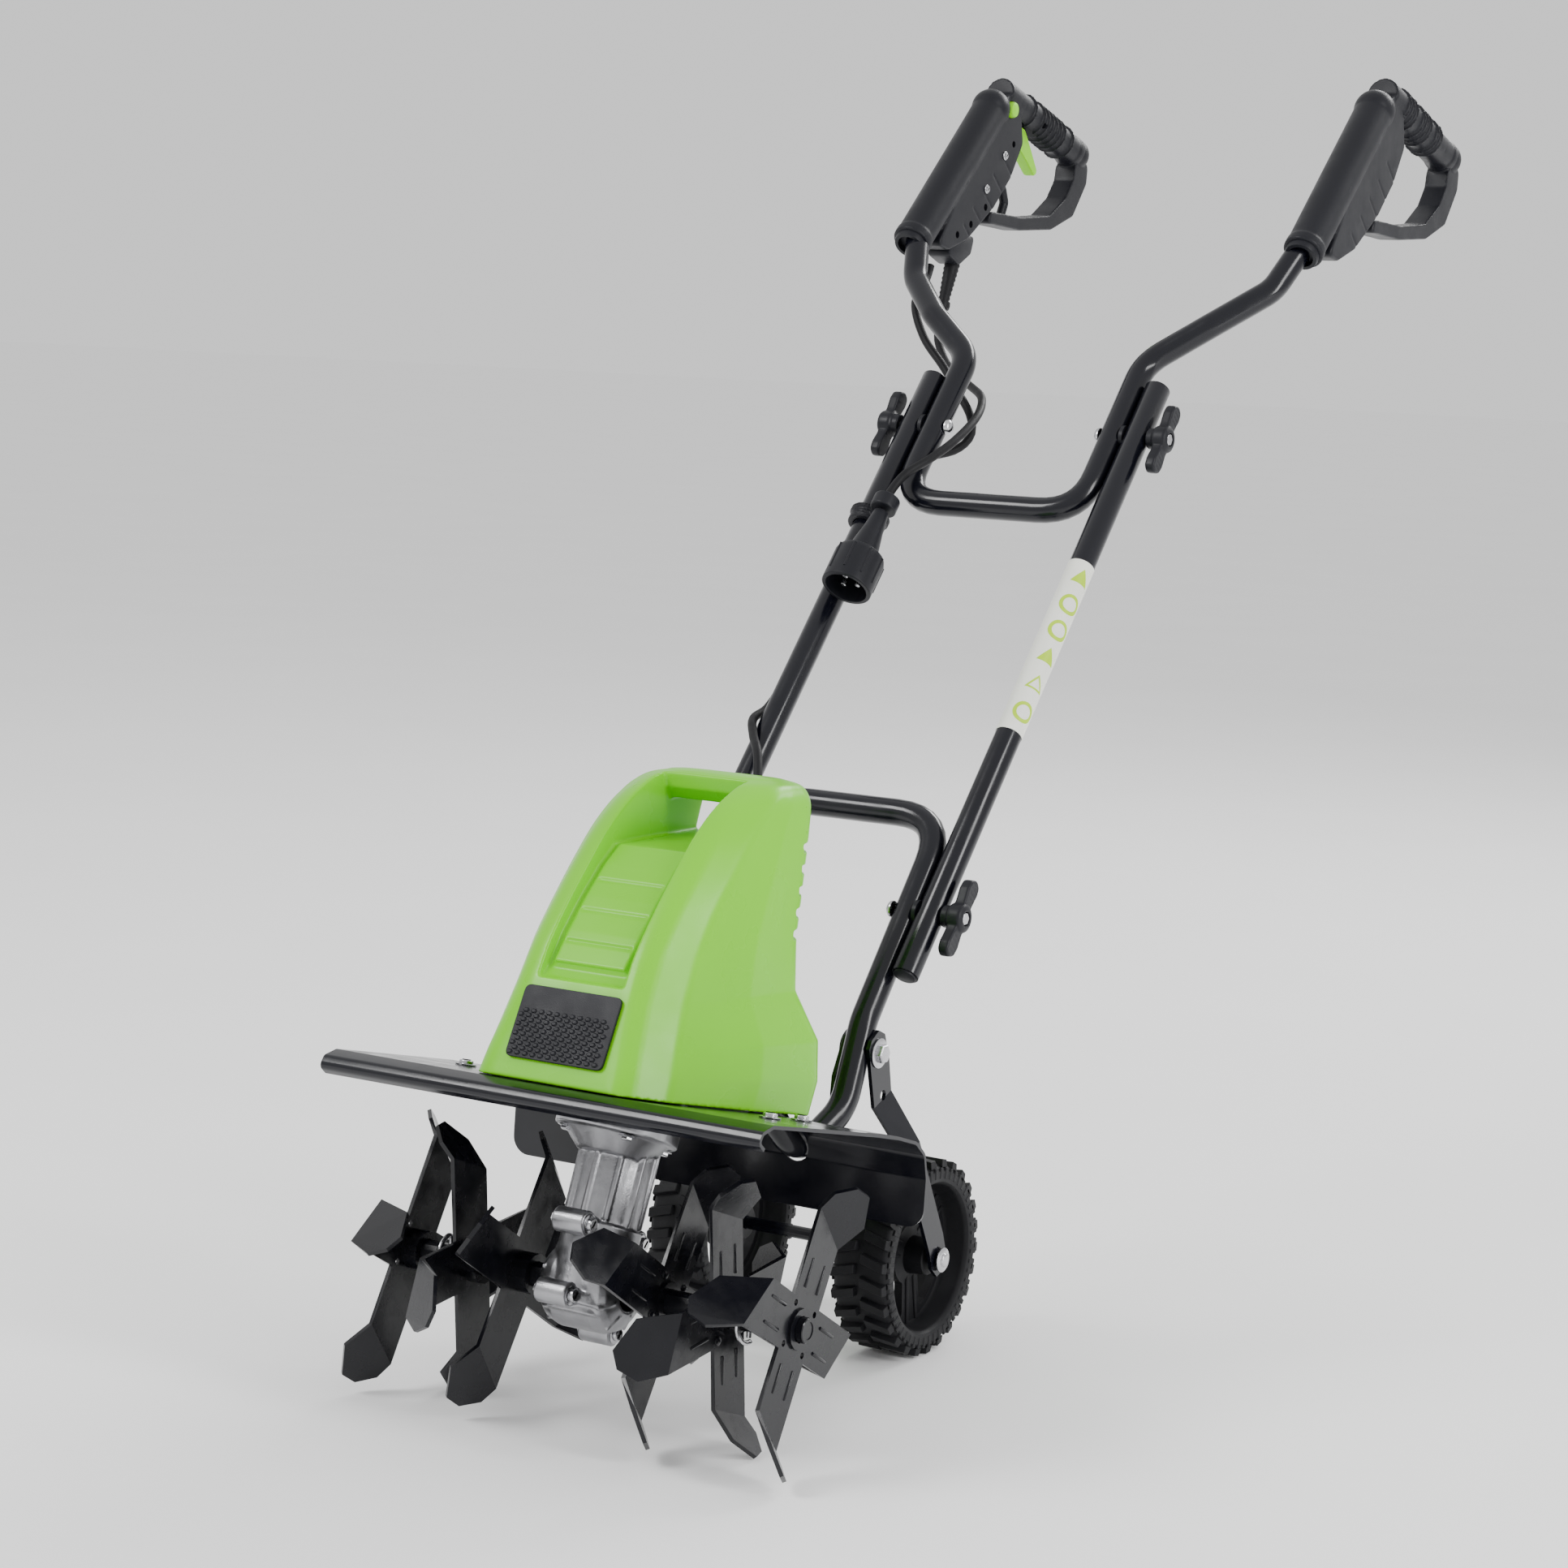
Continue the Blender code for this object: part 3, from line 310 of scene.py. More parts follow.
def rod(a, b, r, count=32, r2=None, soft=0.0):
    a, b = Vector(a), Vector(b)
    r2 = r if r2 is None else r2
    length = (b - a).length
    if soft:
        profile = [(0, r - soft), (soft * 0.3, r - soft * 0.3), (soft, r), (length - soft, r2),
                   (length - soft * 0.3, r2 - soft * 0.3), (length, r2 - soft)]
    else:
        profile = [(0, r), (length, r2)]
    return spun(profile, a, b - a, count)


def fillet(points, radius, steps=6, closed=False):
    """Corners replaced by quadratic arcs."""
    points = [Vector(p) for p in points]
    count = len(points)
    out = [] if closed else [points[0]]
    for i in range(count if closed else count - 2):
        k = i if closed else i + 1
        before, corner, after = points[k - 1], points[k], points[(k + 1) % count]
        a, b = (before - corner), (after - corner)
        half = max(a.angle(b) / 2, 0.05)
        reach = min(radius / math.tan(half) if half < 1.5 else 0.5, 0.48 * a.length, 0.48 * b.length)
        p, q = corner + a.normalized() * reach, corner + b.normalized() * reach
        for s in range(steps + 1):
            t = s / steps
            out.append(p * (1 - t) ** 2 + corner * 2 * t * (1 - t) + q * t * t)
    if not closed:
        out.append(points[-1])
    return out


def sweep(points, radius, count=24):
    """Round bar along a path; radius is one number or one per point."""
    points = [Vector(p) for p in points]
    radii = radius if isinstance(radius, list) else [radius] * len(points)
    side = None
    rings = []
    for i, p in enumerate(points):
        along = (points[min(i + 1, len(points) - 1)] - points[max(i - 1, 0)]).normalized()
        side = along.orthogonal() if side is None else side - along * side.dot(along)
        side.normalize()
        up = along.cross(side)
        rings.append([p + side * (radii[i] * math.cos(t)) + up * (radii[i] * math.sin(t))
                      for t in (2 * math.pi * k / count for k in range(count))])
    return rings_bm(rings)


def plate(outline, x0, x1):
    """Slab with a (y, z) outline between two X planes."""
    return rings_bm([[(x0, y, z) for y, z in outline], [(x1, y, z) for y, z in outline]])


def soft_plate(outline, x0, x1, edge=1.5, corner=4):
    """Slab with rounded corners and softened rims."""
    flat = [(p.x, p.y) for p in fillet([(y, z, 0) for y, z in outline], corner, 4, True)]
    cy = sum(p[0] for p in flat) / len(flat)
    cz = sum(p[1] for p in flat) / len(flat)
    rings = []
    size = max(abs(p[0] - cy) for p in flat)
    for x, inset in ((x0, edge), (x0 + edge * 0.3, edge * 0.3), (x0 + edge, 0), (x1 - edge, 0),
                     (x1 - edge * 0.3, edge * 0.3), (x1, edge)):
        k = 1 - inset / size
        rings.append([(x, cy + (y - cy) * k, cz + (z - cz) * k) for y, z in flat])
    return rings_bm(rings)


def ball(centre, radius, count=24):
    bm = bmesh.new()
    bmesh.ops.create_uvsphere(bm, u_segments=count, v_segments=count // 2, radius=radius / 1000)
    bmesh.ops.translate(bm, verts=bm.verts, vec=mm(centre))
    return bm


def applied(made, name):
    """Mesh of an object with its modifiers, as a new object; the old one goes."""
    bpy.context.view_layer.update()
    graph = bpy.context.evaluated_depsgraph_get()
    data = bpy.data.meshes.new_from_object(made.evaluated_get(graph))
    bpy.data.objects.remove(made)
    data.name = name
    return link(name, data)


def moulded(name, base, adds=(), cuts=(), voxel=1.2, smooth=4, ratio=0.35, late_cuts=()):
    """Solids joined and cut, then remeshed and eased so that every edge is softly rounded."""
    made = mesh_object(name, base)
    helpers = []
    for operation, group in (("UNION", adds), ("DIFFERENCE", cuts)):
        for bm in group:
            other = mesh_object(name + "_helper", bm)
            helpers.append(other)
            carve(made, other, operation)
    made = applied(made, name)
    step = made.modifiers.new("voxel", "REMESH")
    step.mode = "VOXEL"
    step.voxel_size = voxel / 1000
    ease = made.modifiers.new("ease", "SMOOTH")
    ease.factor = 0.5
    ease.iterations = smooth
    thin = made.modifiers.new("thin", "DECIMATE")
    thin.ratio = ratio
    made = applied(made, name)
    for bm in late_cuts:
        other = mesh_object(name + "_helper", bm)
        helpers.append(other)
        carve(made, other)
    if late_cuts:
        made = applied(made, name)
    for other in helpers:
        bpy.data.objects.remove(other)
    made.data.shade_smooth()
    return made


def smooth_route(points, spacing):
    points = [Vector(p) for p in points]
    padded = [2 * points[0] - points[1]] + points + [2 * points[-1] - points[-2]]
    fine = []
    for a, b, c, d in zip(padded[:-3], padded[1:-2], padded[2:-1], padded[3:]):
        for i in range(24):
            t = i / 24
            fine.append(0.5 * (2 * b + (c - a) * t + (2 * a - 5 * b + 4 * c - d) * t * t
                               + (3 * b - a - 3 * c + d) * t ** 3))
    fine.append(points[-1])
    total = sum((q - p).length for p, q in zip(fine[:-1], fine[1:]))
    count = max(4, round(total / spacing))
    out = [fine[0]]
    walked = 0.0
    for p, q in zip(fine[:-1], fine[1:]):
        length = (q - p).length
        while len(out) < count and walked + length >= total / count * len(out):
            out.append(p.lerp(q, (total / count * len(out) - walked) / length))
        walked += length
    out.append(fine[-1])
    return out


# --- sizes shared with the CAD -------------------------------------------------------
AXLE_Z = 100.5
LEAN = math.atan2(0.385, 0.923)
WHEEL = (303.0, 75.0)
LOWER_PIVOT, UPPER_PIVOT = (282.0, 341.0), (590.0, 690.0)
TUBE = 10.4
MIDDLE_X, INNER_X, GRIP_X = 103.0, 81.5, 183.0
TUBE_RUN, TUBE_RISE = UPPER_PIVOT[0] - LOWER_PIVOT[0], UPPER_PIVOT[1] - LOWER_PIVOT[1]
CORD_RADIUS = 3.6
WORM_OFFSET = 17.0
COLUMN_BACK = 10.0
COLUMN_RADIUS = 26.4
BOLT_REACH = 36.0
STAR_X = {1: (62.0, 112.0, 168.0), -1: (60.0, 104.0, 156.0)}
STAR_TURN = (57.0, 95.0, 60.0)
PIN_GAP = 18.0
PIN_RADIUS = 16.5
SHIELD_HALF = 181.0
GUARD_HALF = 178.0
MOTOR_WAY = 45.0
LABEL_MID = 290.5
WHEEL_X, WHEEL_HALF = 82.0, 24.0
CARRIAGE_PIVOT = (225.0, 244.0)


def on_tube(z):
    return LOWER_PIVOT[0] + (z - LOWER_PIVOT[1]) / TUBE_RISE * TUBE_RUN


def worm(along, side=0.0):
    lean = Vector((0, math.sin(LEAN), math.cos(LEAN)))
    front = Vector((0, -math.cos(LEAN), math.sin(LEAN)))
    return Vector((0, 0, AXLE_Z)) + front * (WORM_OFFSET + side) + lean * along


def column(along, side=0.0):
    return worm(along, side - COLUMN_BACK)


TUBE_WAY = Vector((0, TUBE_RUN, TUBE_RISE)).normalized()
TUBE_FRONT = Vector((0, -TUBE_WAY.z, TUBE_WAY.y))

# --- cords ---------------------------------------------------------------------------
MOTOR_CABLE = (
    (-183, 752, 824), (-181, 742, 812), (-172, 708, 790), (-152, 690, 762), (-124, 676, 738),
    (-101, 664, 716),
    (-86, 658, 698), (-81, 651, 682), (-87, 638, 670), (-100, 618, 664), (-113, 598, 658), (-121, 572, 646),
    (-121, 548, 622), (-119.5, 510, 580), (-119.5, 470, 534), (-120, 436, 493), (-120, 405, 467),
    (-115, 374, 460),
    (-101, 352, 450), (-80, 326, 434), (-62, 292, 390), (-55, 246, 330), (-51, 204, 296), (-50, 172, 287),
    (-50, 146, 286),
)
INLET_LEAD = (
    (-183, 774, 776), (-180, 766, 760), (-162, 748, 742), (-130, 712, 730), (-104, 690, 722), (-78, 662, 713),
    (-63, 626, 698), (-60, 586, 680), (-65, 554, 665), (-74, 531, 653),
)
CUP_SEAT = Vector((-78, 459, 576))
CLIP_AT = Vector((-MIDDLE_X, on_tube(613), 613))
ARM = CUP_SEAT + TUBE_WAY * (CLIP_AT - CUP_SEAT).dot(TUBE_WAY)
RELIEF_HEAD = Vector((-GRIP_X, 794, 834))


def cable(name, points, nodes):
    made = mesh_object(name, sweep(points, CORD_RADIUS, 14))
    made.data.materials.append(look("rubber"))
    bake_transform(made)
    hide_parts(*nodes)


def make_cords():
    route = smooth_route(MOTOR_CABLE, 6)
    split = min(range(len(route)), key=lambda k: (route[k] - Vector((-121, 548, 622))).length)
    cable("motor_cable_upper", route[:split + 1],
          ["motor_cable"])
    lower = route[split:][::-1]
    cable("motor_cable_lower", lower,
          ["motor_cable"])
    lead = smooth_route([RELIEF_HEAD + Vector((0, -16.2, -42.5))] + [Vector(p) for p in INLET_LEAD]
                        + [ARM + TUBE_WAY * 16, ARM + TUBE_WAY * 6.4], 6)
    cable("inlet_lead_cord", lead,
          ["inlet_lead"])


# --- cover ---------------------------------------------------------------------------
SECTIONS = (
    (254.5, 207, -61.0, 156, 62, 90), (270, 232, -53.0, 164, 60, 92), (285, 262, -45.1, 166, 57, 90),
    (312, 300, -31.0, 150, 53, 79), (340, 334, -15, 152, 51, 77), (368, 366, 8, 160, 50, 75),
    (394, 394, 33, 168, 50, 73), (416, 416, 56, 176, 49, 70), (434, 432, 82, 182, 47, 66),
    (446, 442, 110, 180, 42, 58), (449, 446, 128, 172, 36, 46),
)


def between_sections(inset):
    """Finer list of sections through the given ones, with the wall's inset taken off."""
    out = []
    last = len(SECTIONS) - 1
    for i in range(last):
        a, b, c, d = (SECTIONS[max(0, min(last, k))] for k in (i - 1, i, i + 1, i + 2))
        if i < 4:
            out += [[q + (r - q) * s / 5 for q, r in zip(b, c)] for s in range(5)]
            continue
        for s in range(5):
            t = s / 5
            out.append([0.5 * (2 * q + (r - p) * t + (2 * p - 5 * q + 4 * r - w) * t * t
                               + (3 * q - p - 3 * r + w) * t ** 3) for p, q, r, w in zip(a, b, c, d)])
    out.append(list(SECTIONS[-1]))
    return [(s[0], s[1], s[2] + inset, s[3] - inset, s[4] - inset, s[5] - inset) for s in out]


def cover_ring(section):
    zf, zr, front, rear, wf, wr = section
    depth = rear - front
    half = [(wf - 3, front), (min(wf + 17, wr - 1), front + min(30, 0.3 * depth)), (wr, front + 0.55 * depth),
            (wr - 1, rear - min(16, 0.15 * depth)), (wr - 16, rear)]
    ring = [(0, front, 0)] + [(x, y, 0) for x, y in half] + [(0, rear, 0)] + [(-x, y, 0) for x,
        y in reversed(half)]
    out = []
    for p in fillet(ring, 22, 5, True):
        out.append((p.x, p.y, zf + (zr - zf) * (p.y - front) / depth))
    return out


def recess(grow=0.0):
    return [(-90, 320 - grow), (-21 + grow, 320 - grow), (-14 + grow, 326 - grow), (2 + grow, 348 - grow),
            (23 + grow, 370 - grow), (45 + grow, 390 - grow), (62 + grow, 402 - grow), (230, 402 - grow),
            (230, 429 + grow), (134 + grow, 429 + grow), (126 + grow, 438), (124 + grow, 480), (-90, 480)]


def make_cover():
    fine = between_sections(0)
    top = fine[-1]
    for rise, inset in ((0.9, 3), (1.3, 7), (1.5, 14)):
        fine.append((top[0] + rise, top[1] + rise, top[2] + inset, top[3] - inset, top[4] - inset,
                     top[5] - inset))
    outer = rings_bm([cover_ring(s) for s in fine])
    inner = []
    for s in between_sections(3.2)[:-9]:
        drop = 14 if not inner else 0
        inner.append((s[0] - drop, s[1] - drop) + tuple(s[2:]))
    room = mesh_object("cover_room", rings_bm([cover_ring(s) for s in inner]))
    kept = mesh_object("recess_kept", plate(recess(3), -38, 38))
    carve(room, kept)
    room = applied(room, "cover_room")
    bpy.data.objects.remove(kept)
    bm = bmesh.new()
    bm.from_mesh(room.data)
    bpy.data.objects.remove(room)
    raised = [(-90, 327.1), (-21, 327.1), (-15.5, 331.1), (0.4, 349.7), (21.4, 371.7), (43.4, 391.7),
              (61, 403.3),
              (230, 402.1), (230, 429.1), (134, 429.1), (126, 438.1), (124, 480.1), (-90, 480.1)]
    foot = [(-89.9, 320.1), (-20.9, 320.1), (-14.9, 325.1), (-13.9, 330.1), (-89.9, 330.1)]
    cuts = [bm, plate(recess(), -35, -29.5), plate(recess(0.05), 29.4, 34.9), plate(raised, -29.6, 29.6),
            plate(foot, -34.8, 34.7), rod((-50, 120, 286), (-50, 200, 286), 5.5)]
    for k in range(5):
        z = 338 + 15 * k
        for side in (-1, 1):
            a, b = sorted((side * 44, side * 96))
            y = 131 + 4.2 * k
            cuts.append(plate([(y, z), (200, z), (200, z + 6.5), (y, z + 6.5)], a, b))
    for y, z in ((-5.5, 343.0), (12.5, 362.5), (31.5, 381.0)):
        groove = [(y - 3.4, z + 1.6), (y + 1.0, z - 1.4), (y + 3.0, z + 0.8), (y - 1.4, z + 3.8)]
        cuts.append(plate(groove, -28, 28))
    made = moulded("cover_shell", outer, (), cuts, voxel=1.15, smooth=4, ratio=0.3)
    piece("cover_shell", made, "green_shell", "chassis", ["motor_cover"])


def make_label_plate():
    lean = math.atan2(30.0, 57.5)
    share = (LABEL_MID - 254.5) / 57.5
    face = Vector((0, -61 + share * 30.0, LABEL_MID))
    out = Vector((0, -math.cos(lean), math.sin(lean)))
    up = Vector((0, math.sin(lean), math.cos(lean)))

    def at(x, h, d):
        return face + Vector((x, 0, 0)) + up * h + out * d

    def slab(x0, x1, h0, h1, d0, d1, corner):
        flat = fillet([(x0, h0, 0), (x1, h0, 0), (x1, h1, 0), (x0, h1, 0)], corner, 4, True)
        return rings_bm([[at(p.x, p.y, d) for p in flat] for d in (d0, d1)])

    piece("name_plate", slab(-40, 40, -26.2, 26.2, 0.8, 3.0, 5), "black_plastic", "chassis", ["label_plate"],
          bevel=0.5)
    bm = bmesh.new()
    pitch_x, pitch_h = 6.4, 3.4
    for row in range(10):
        for col in range(12):
            x = -36.5 + pitch_x * col + (pitch_x / 2 if row % 2 else 0)
            h = -23 + pitch_h * row
            if x > 37:
                continue
            rings = []
            for across, along, lift in ((2.9, 2.0, 2.9), (1.6, 1.1, 4.1)):
                rings.append([at(x + across * math.cos(t), h + along * math.sin(t), lift)
                              for t in (math.pi / 3 * k for k in range(6))])
            prism(bm, *rings)
    piece("name_plate_texture", bm, "black_plastic", "chassis", smooth_angle=20)


make_camera()
make_stage()
make_cords()
make_cover()
make_label_plate()


# --- shield --------------------------------------------------------------------------
def thick_sheet(path, thickness, x0, x1):
    """Bent sheet of even thickness across the machine."""
    points = [Vector((p[0], p[1], 0)) for p in path]
    upper, lower = [], []
    for i, p in enumerate(points):
        along = points[min(i + 1, len(points) - 1)] - points[max(i - 1, 0)]
        normal = Vector((-along.y, along.x, 0)).normalized() * thickness / 2
        upper.append(p + normal)
        lower.append(p - normal)
    return plate([(p.x, p.y) for p in upper + lower[::-1]], x0, x1)


def cut_by(made, cutters, name):
    helpers = [mesh_object(name + "_cut", bm) for bm in cutters]
    for other in helpers:
        carve(made, other)
    made = applied(made, name)
    for other in helpers:
        bpy.data.objects.remove(other)
    made.data.shade_smooth()
    made.data.set_sharp_from_angle(angle=math.radians(40))
    return made


def frame_route():
    half = [(INNER_X, on_tube(405), 405), (INNER_X, 225, 266), (INNER_X, 200, 205), (70, 158, 176),
            (62, 114, 224)]
    return fillet(half[::-1] + [(-x, y, z) for x, y, z in half], 42, 8)


def bolt_head(name, at, along, body, r=5.5, h=3.6, mat="steel", hexagon=True, replaces=()):
    """Screw head with a washer under it."""
    at, along = Vector(at), Vector(along).normalized()
    piece(name + "_washer", spun([(0, r * 0.5), (0, r * 1.45), (0.9, r * 1.5), (1.3, r * 1.35),
                                  (1.3, r * 0.5)],
                                 at, along, 32), mat, body)
    bm = spun([(1.3, r), (1.3 + h * 0.8, r), (1.3 + h, r * 0.86)], at, along, 6 if hexagon else 28)
    piece(name, bm, mat, body, bevel=0.35, smooth_angle=28, replaces=replaces)
    if not hexagon:
        side = along.orthogonal().normalized()
        top = at + along * (1.3 + h * 0.97)
        # the slot is a near-black bar over the steel head: painted shade in place of a cut groove
        piece(name + "_slot", rod(top - side * r * 0.6, top + side * r * 0.6, r * 0.14, 8), "painted_slot_shade", body)


def make_shield():
    path = fillet([(-73, 239, 0), (-79.5, 244.5, 0), (-75, 250.4, 0), (-62, 252.4, 0), (0, 238.9, 0),
                   (75, 222.4, 0)],
                  4, 5)
    sheet = mesh_object("shield_sheet", thick_sheet([(p.x, p.y) for p in path], 2.6, -SHIELD_HALF,
                                                    SHIELD_HALF))
    sheet = cut_by(sheet, [rod(worm(60), worm(165), MOTOR_WAY, 48)], "shield_sheet")
    piece("shield_sheet", sheet, "black_paint", "chassis", ["tine_shield"], bevel=0.7)
    back = fillet([(76.5, 221.8, 0), (112, 213.2, 0), (138, 205, 0), (151, 194, 0), (155, 176, 0),
                   (153, 140, 0)],
                  9, 5)
    guard = mesh_object("guard_sheet", thick_sheet([(p.x, p.y) for p in back], 2.4, -GUARD_HALF, GUARD_HALF))
    ways = [sweep(frame_route(), TUBE + 2.0, 20), rod(worm(60), worm(165), MOTOR_WAY, 48)]
    for side in (-1, 1):
        arc = [(164 + 14 * math.cos(t), 154 - 14 * math.sin(t)) for t in (math.pi / 16 * k for k in range(9))]
        corner = [(side * x, z) for x, z in [(181, 137), (181, 154)] + arc + [(164, 137)]]
        ways.append(rings_bm([[(x, y, z) for x, z in corner] for y in (120, 170)]))
    guard = cut_by(guard, ways, "guard_sheet")
    piece("guard_sheet", guard, "black_paint", "chassis", ["rear_guard"], bevel=0.7)
    slope = Vector((0, 0.22, 0.975))
    for k, (x, y) in enumerate(((128, 20), (-128, 20), (128, 62), (-128, 62))):
        bolt_head(f"shield_screw_{k}", (x, y, 240.2 - 0.218 * y + 0.2), slope, "chassis", 5.2, 2.6,
                  "steel", False)


# --- tubes ---------------------------------------------------------------------------
def handle_route():
    low = 630
    half = [(INNER_X, on_tube(low), low), (INNER_X, on_tube(748), 748), (128, 664, 781), (167, 697, 812),
            (180, 722, 848), (GRIP_X, 790, 911)]
    return fillet(half[::-1] + [(-x, y, z) for x, y, z in half], 38, 8)


def make_tubes():
    piece("frame_tube", sweep(frame_route(), TUBE, 32), "black_paint", "chassis", ["lower_frame"])
    piece("handlebar_tube", sweep(handle_route(), TUBE, 32), "black_paint", "handlebar", ["upper_handle"])
    for side, word in SIDES:
        x = side * MIDDLE_X
        low, high = Vector((x, on_tube(300), 300)), Vector((x, on_tube(729), 729))
        outer = mesh_object(f"long_tube_{word}", rod(low, high, TUBE, 40, soft=0.4))
        outer = cut_by(outer, [rod(low - TUBE_WAY * 2, low + TUBE_WAY * 40, 8.9, 40),
                               rod(high - TUBE_WAY * 40, high + TUBE_WAY * 2, 8.9, 40)], f"long_tube_{word}")
        piece(f"long_tube_{word}", outer, "black_paint", "lower_handle", [f"middle_tube_{word}"])
        for end, spot, way in (("top", high, TUBE_WAY), ("foot", low, -TUBE_WAY)):
            plug = rod(spot - way * 6, spot + way * 1.6, 8.7, 32, soft=0.8)
            piece(f"tube_plug_{word}_{end}", plug, "black_plastic", "lower_handle")


def make_sleeve():
    """Blank instruction sleeve on the right tube with plain shapes instead of signs."""
    x = MIDDLE_X
    low, high = Vector((x, on_tube(466), 466)), Vector((x, on_tube(590), 590))
    length = (high - low).length
    piece("tube_sleeve", spun([(0, TUBE + 0.05), (0, TUBE + 0.4), (length, TUBE + 0.4),
                               (length, TUBE + 0.05)],
                              low, TUBE_WAY, 48, True), "label", "lower_handle")
    across = Vector((1, 0, 0))

    def wrapped(u, v, lift):
        """Point on the sleeve: v along it, u round it from the side that faces forward and right."""
        t = u / (TUBE + 0.4) + math.radians(-52)
        r = TUBE + 0.4 + lift
        return low + TUBE_WAY * v + across * (r * -math.sin(t)) + TUBE_FRONT * (r * math.cos(t))

    shapes = [("tri", 0.90), ("disc", 0.745), ("disc", 0.59), ("tri", 0.43), ("tri2", 0.27), ("disc", 0.11)]
    for k, (kind, share) in enumerate(shapes):
        v0 = length * share
        for ring, (size, mat, lift) in enumerate(((9.2, "label_lime", 0.12), (6.0, "label", 0.22))):
            if ring and kind == "tri":
                continue
            bm = bmesh.new()
            if kind == "disc":
                outline = [(size * math.cos(t),
                            size * math.sin(t)) for t in (math.pi / 12 * j for j in range(24))]
            else:
                outline = []
                corners = [(size * math.cos(t), size * math.sin(t)) for t in
                           (math.pi / 2 + 2 * math.pi / 3 * j for j in range(3))]
                for a, b in zip(corners, corners[1:] + corners[:1]):
                    outline += [(a[0] + (b[0] - a[0]) * s / 8,
                                 a[1] + (b[1] - a[1]) * s / 8) for s in range(8)]
            rows = []
            for f in (0.0, 0.25, 0.5, 0.75, 1.0):
                rows.append([bm.verts.new(mm(wrapped(u * max(f, 0.01), v0 + v * max(f, 0.01), lift)))
                             for u, v in outline])
            for a, b in zip(rows[:-1], rows[1:]):
                for j in range(len(outline)):
                    m = (j + 1) % len(outline)
                    bm.faces.new((a[j], a[m], b[m], b[j]))
            bm.faces.new(rows[0])
            base = [bm.verts.new(mm(wrapped(u, v0 + v, 0.0))) for u, v in outline]
            for j in range(len(outline)):
                m = (j + 1) % len(outline)
                bm.faces.new((rows[-1][j], rows[-1][m], base[m], base[j]))
            piece(f"sleeve_mark_{k}_{ring}", bm, mat, "lower_handle")


# --- bolts and knobs -----------------------------------------------------------------
def turn_yz(y, z, angle):
    c, s = math.cos(angle), math.sin(angle)
    return y * c - z * s, y * s + z * c


def make_knob(name, side, y, z, body, node):
    base = side * (MIDDLE_X + TUBE + 0.6)
    tilt = math.radians(-38)
    along = (side, 0, 0)
    hub = spun([(0, 7.6), (0.6, 8.5), (5.6, 8.5), (7, 10.6), (9, 11), (16, 11), (17.6, 10.2), (19, 7.5)],
               (base, y, z), along, 40)
    wings = []
    for end in (-1, 1):
        outline = [(-6.5, 0), (6.5, 0), (6, 13), (7.8, 24), (6.5, 31), (0, 33), (-7, 29), (-8.6, 22),
                   (-7, 12)]
        spots = [turn_yz(a * end, b * end, tilt) for a, b in outline]
        x0, x1 = sorted((base + side * 7.8, base + side * 16.2))
        wings.append(soft_plate([(y + a, z + b) for a, b in spots], x0, x1, 1.8, 5))
    grooves = []
    for end in (-1, 1):
        for k in range(4):
            spot = turn_yz(0, end * (16 + 4 * k), tilt)
            face = base + side * 16.6
            reach = turn_yz(5.0, 0, tilt)
            grooves.append(rod((face, y + spot[0] - reach[0], z + spot[1] - reach[1]),
                               (face, y + spot[0] + reach[0], z + spot[1] + reach[1]), 0.8, 10))
    bore = rod((base + side * 16, y, z), (base + side * 24, y, z), 5.4, 24)
    made = moulded(name + "_wing_nut", hub, wings, grooves + [bore], voxel=0.7, smooth=3, ratio=0.4)
    piece(name + "_wing_nut", made, "black_plastic", body, [node])


def make_fasteners():
    for level, (y, z), body in (("lower", LOWER_PIVOT, "chassis"), ("upper", UPPER_PIVOT, "lower_handle")):
        for side, word in SIDES:
            head = side * (INNER_X - TUBE - 0.4)
            bm = spun([(0, 6.4), (1.0, 6.5), (2.6, 5.9), (4.0, 4.2), (4.6, 1.5)], (head, y, z),
                      (-side, 0, 0), 32)
            piece(f"{level}_cap_{word}", bm, "steel", body, [f"{level}_bolt_{word}"])
            base = side * (MIDDLE_X + TUBE + 0.6)
            shank = spun([(0, 3.0), (12.0 + 17.4 - 11.8, 3.0), (18.4, 2.4)],
                         (side * (MIDDLE_X + TUBE), y, z), (side, 0, 0), 24)
            piece(f"{level}_shank_{word}", shank, "steel", body)
            knob_body = f"knob_{level}_{word}"
            nut = spun([(0, 5.1), (2.2, 5.1), (2.8, 4.6)], (base + side * 15.6, y, z), (side, 0, 0), 6)
            piece(f"{level}_nut_{word}", nut, "steel", knob_body, bevel=0.3, smooth_angle=25)
            make_knob(f"{level}_{word}", side, y, z, knob_body, f"{level}_knob_{word}")
            saddle = rod((side * (INNER_X + TUBE - 1.2), y, z), (side * (MIDDLE_X - TUBE + 1.2), y, z),
                         9.5, 32)
            piece(f"{level}_spacer_{word}", saddle, "black_plastic", body)


# --- gearbox -------------------------------------------------------------------------
def bolt_spot(along, side):
    if along < 0 and side > 0:
        return Vector((0, 11.5, AXLE_Z - 35.0))
    return column(along, -BOLT_REACH * side)


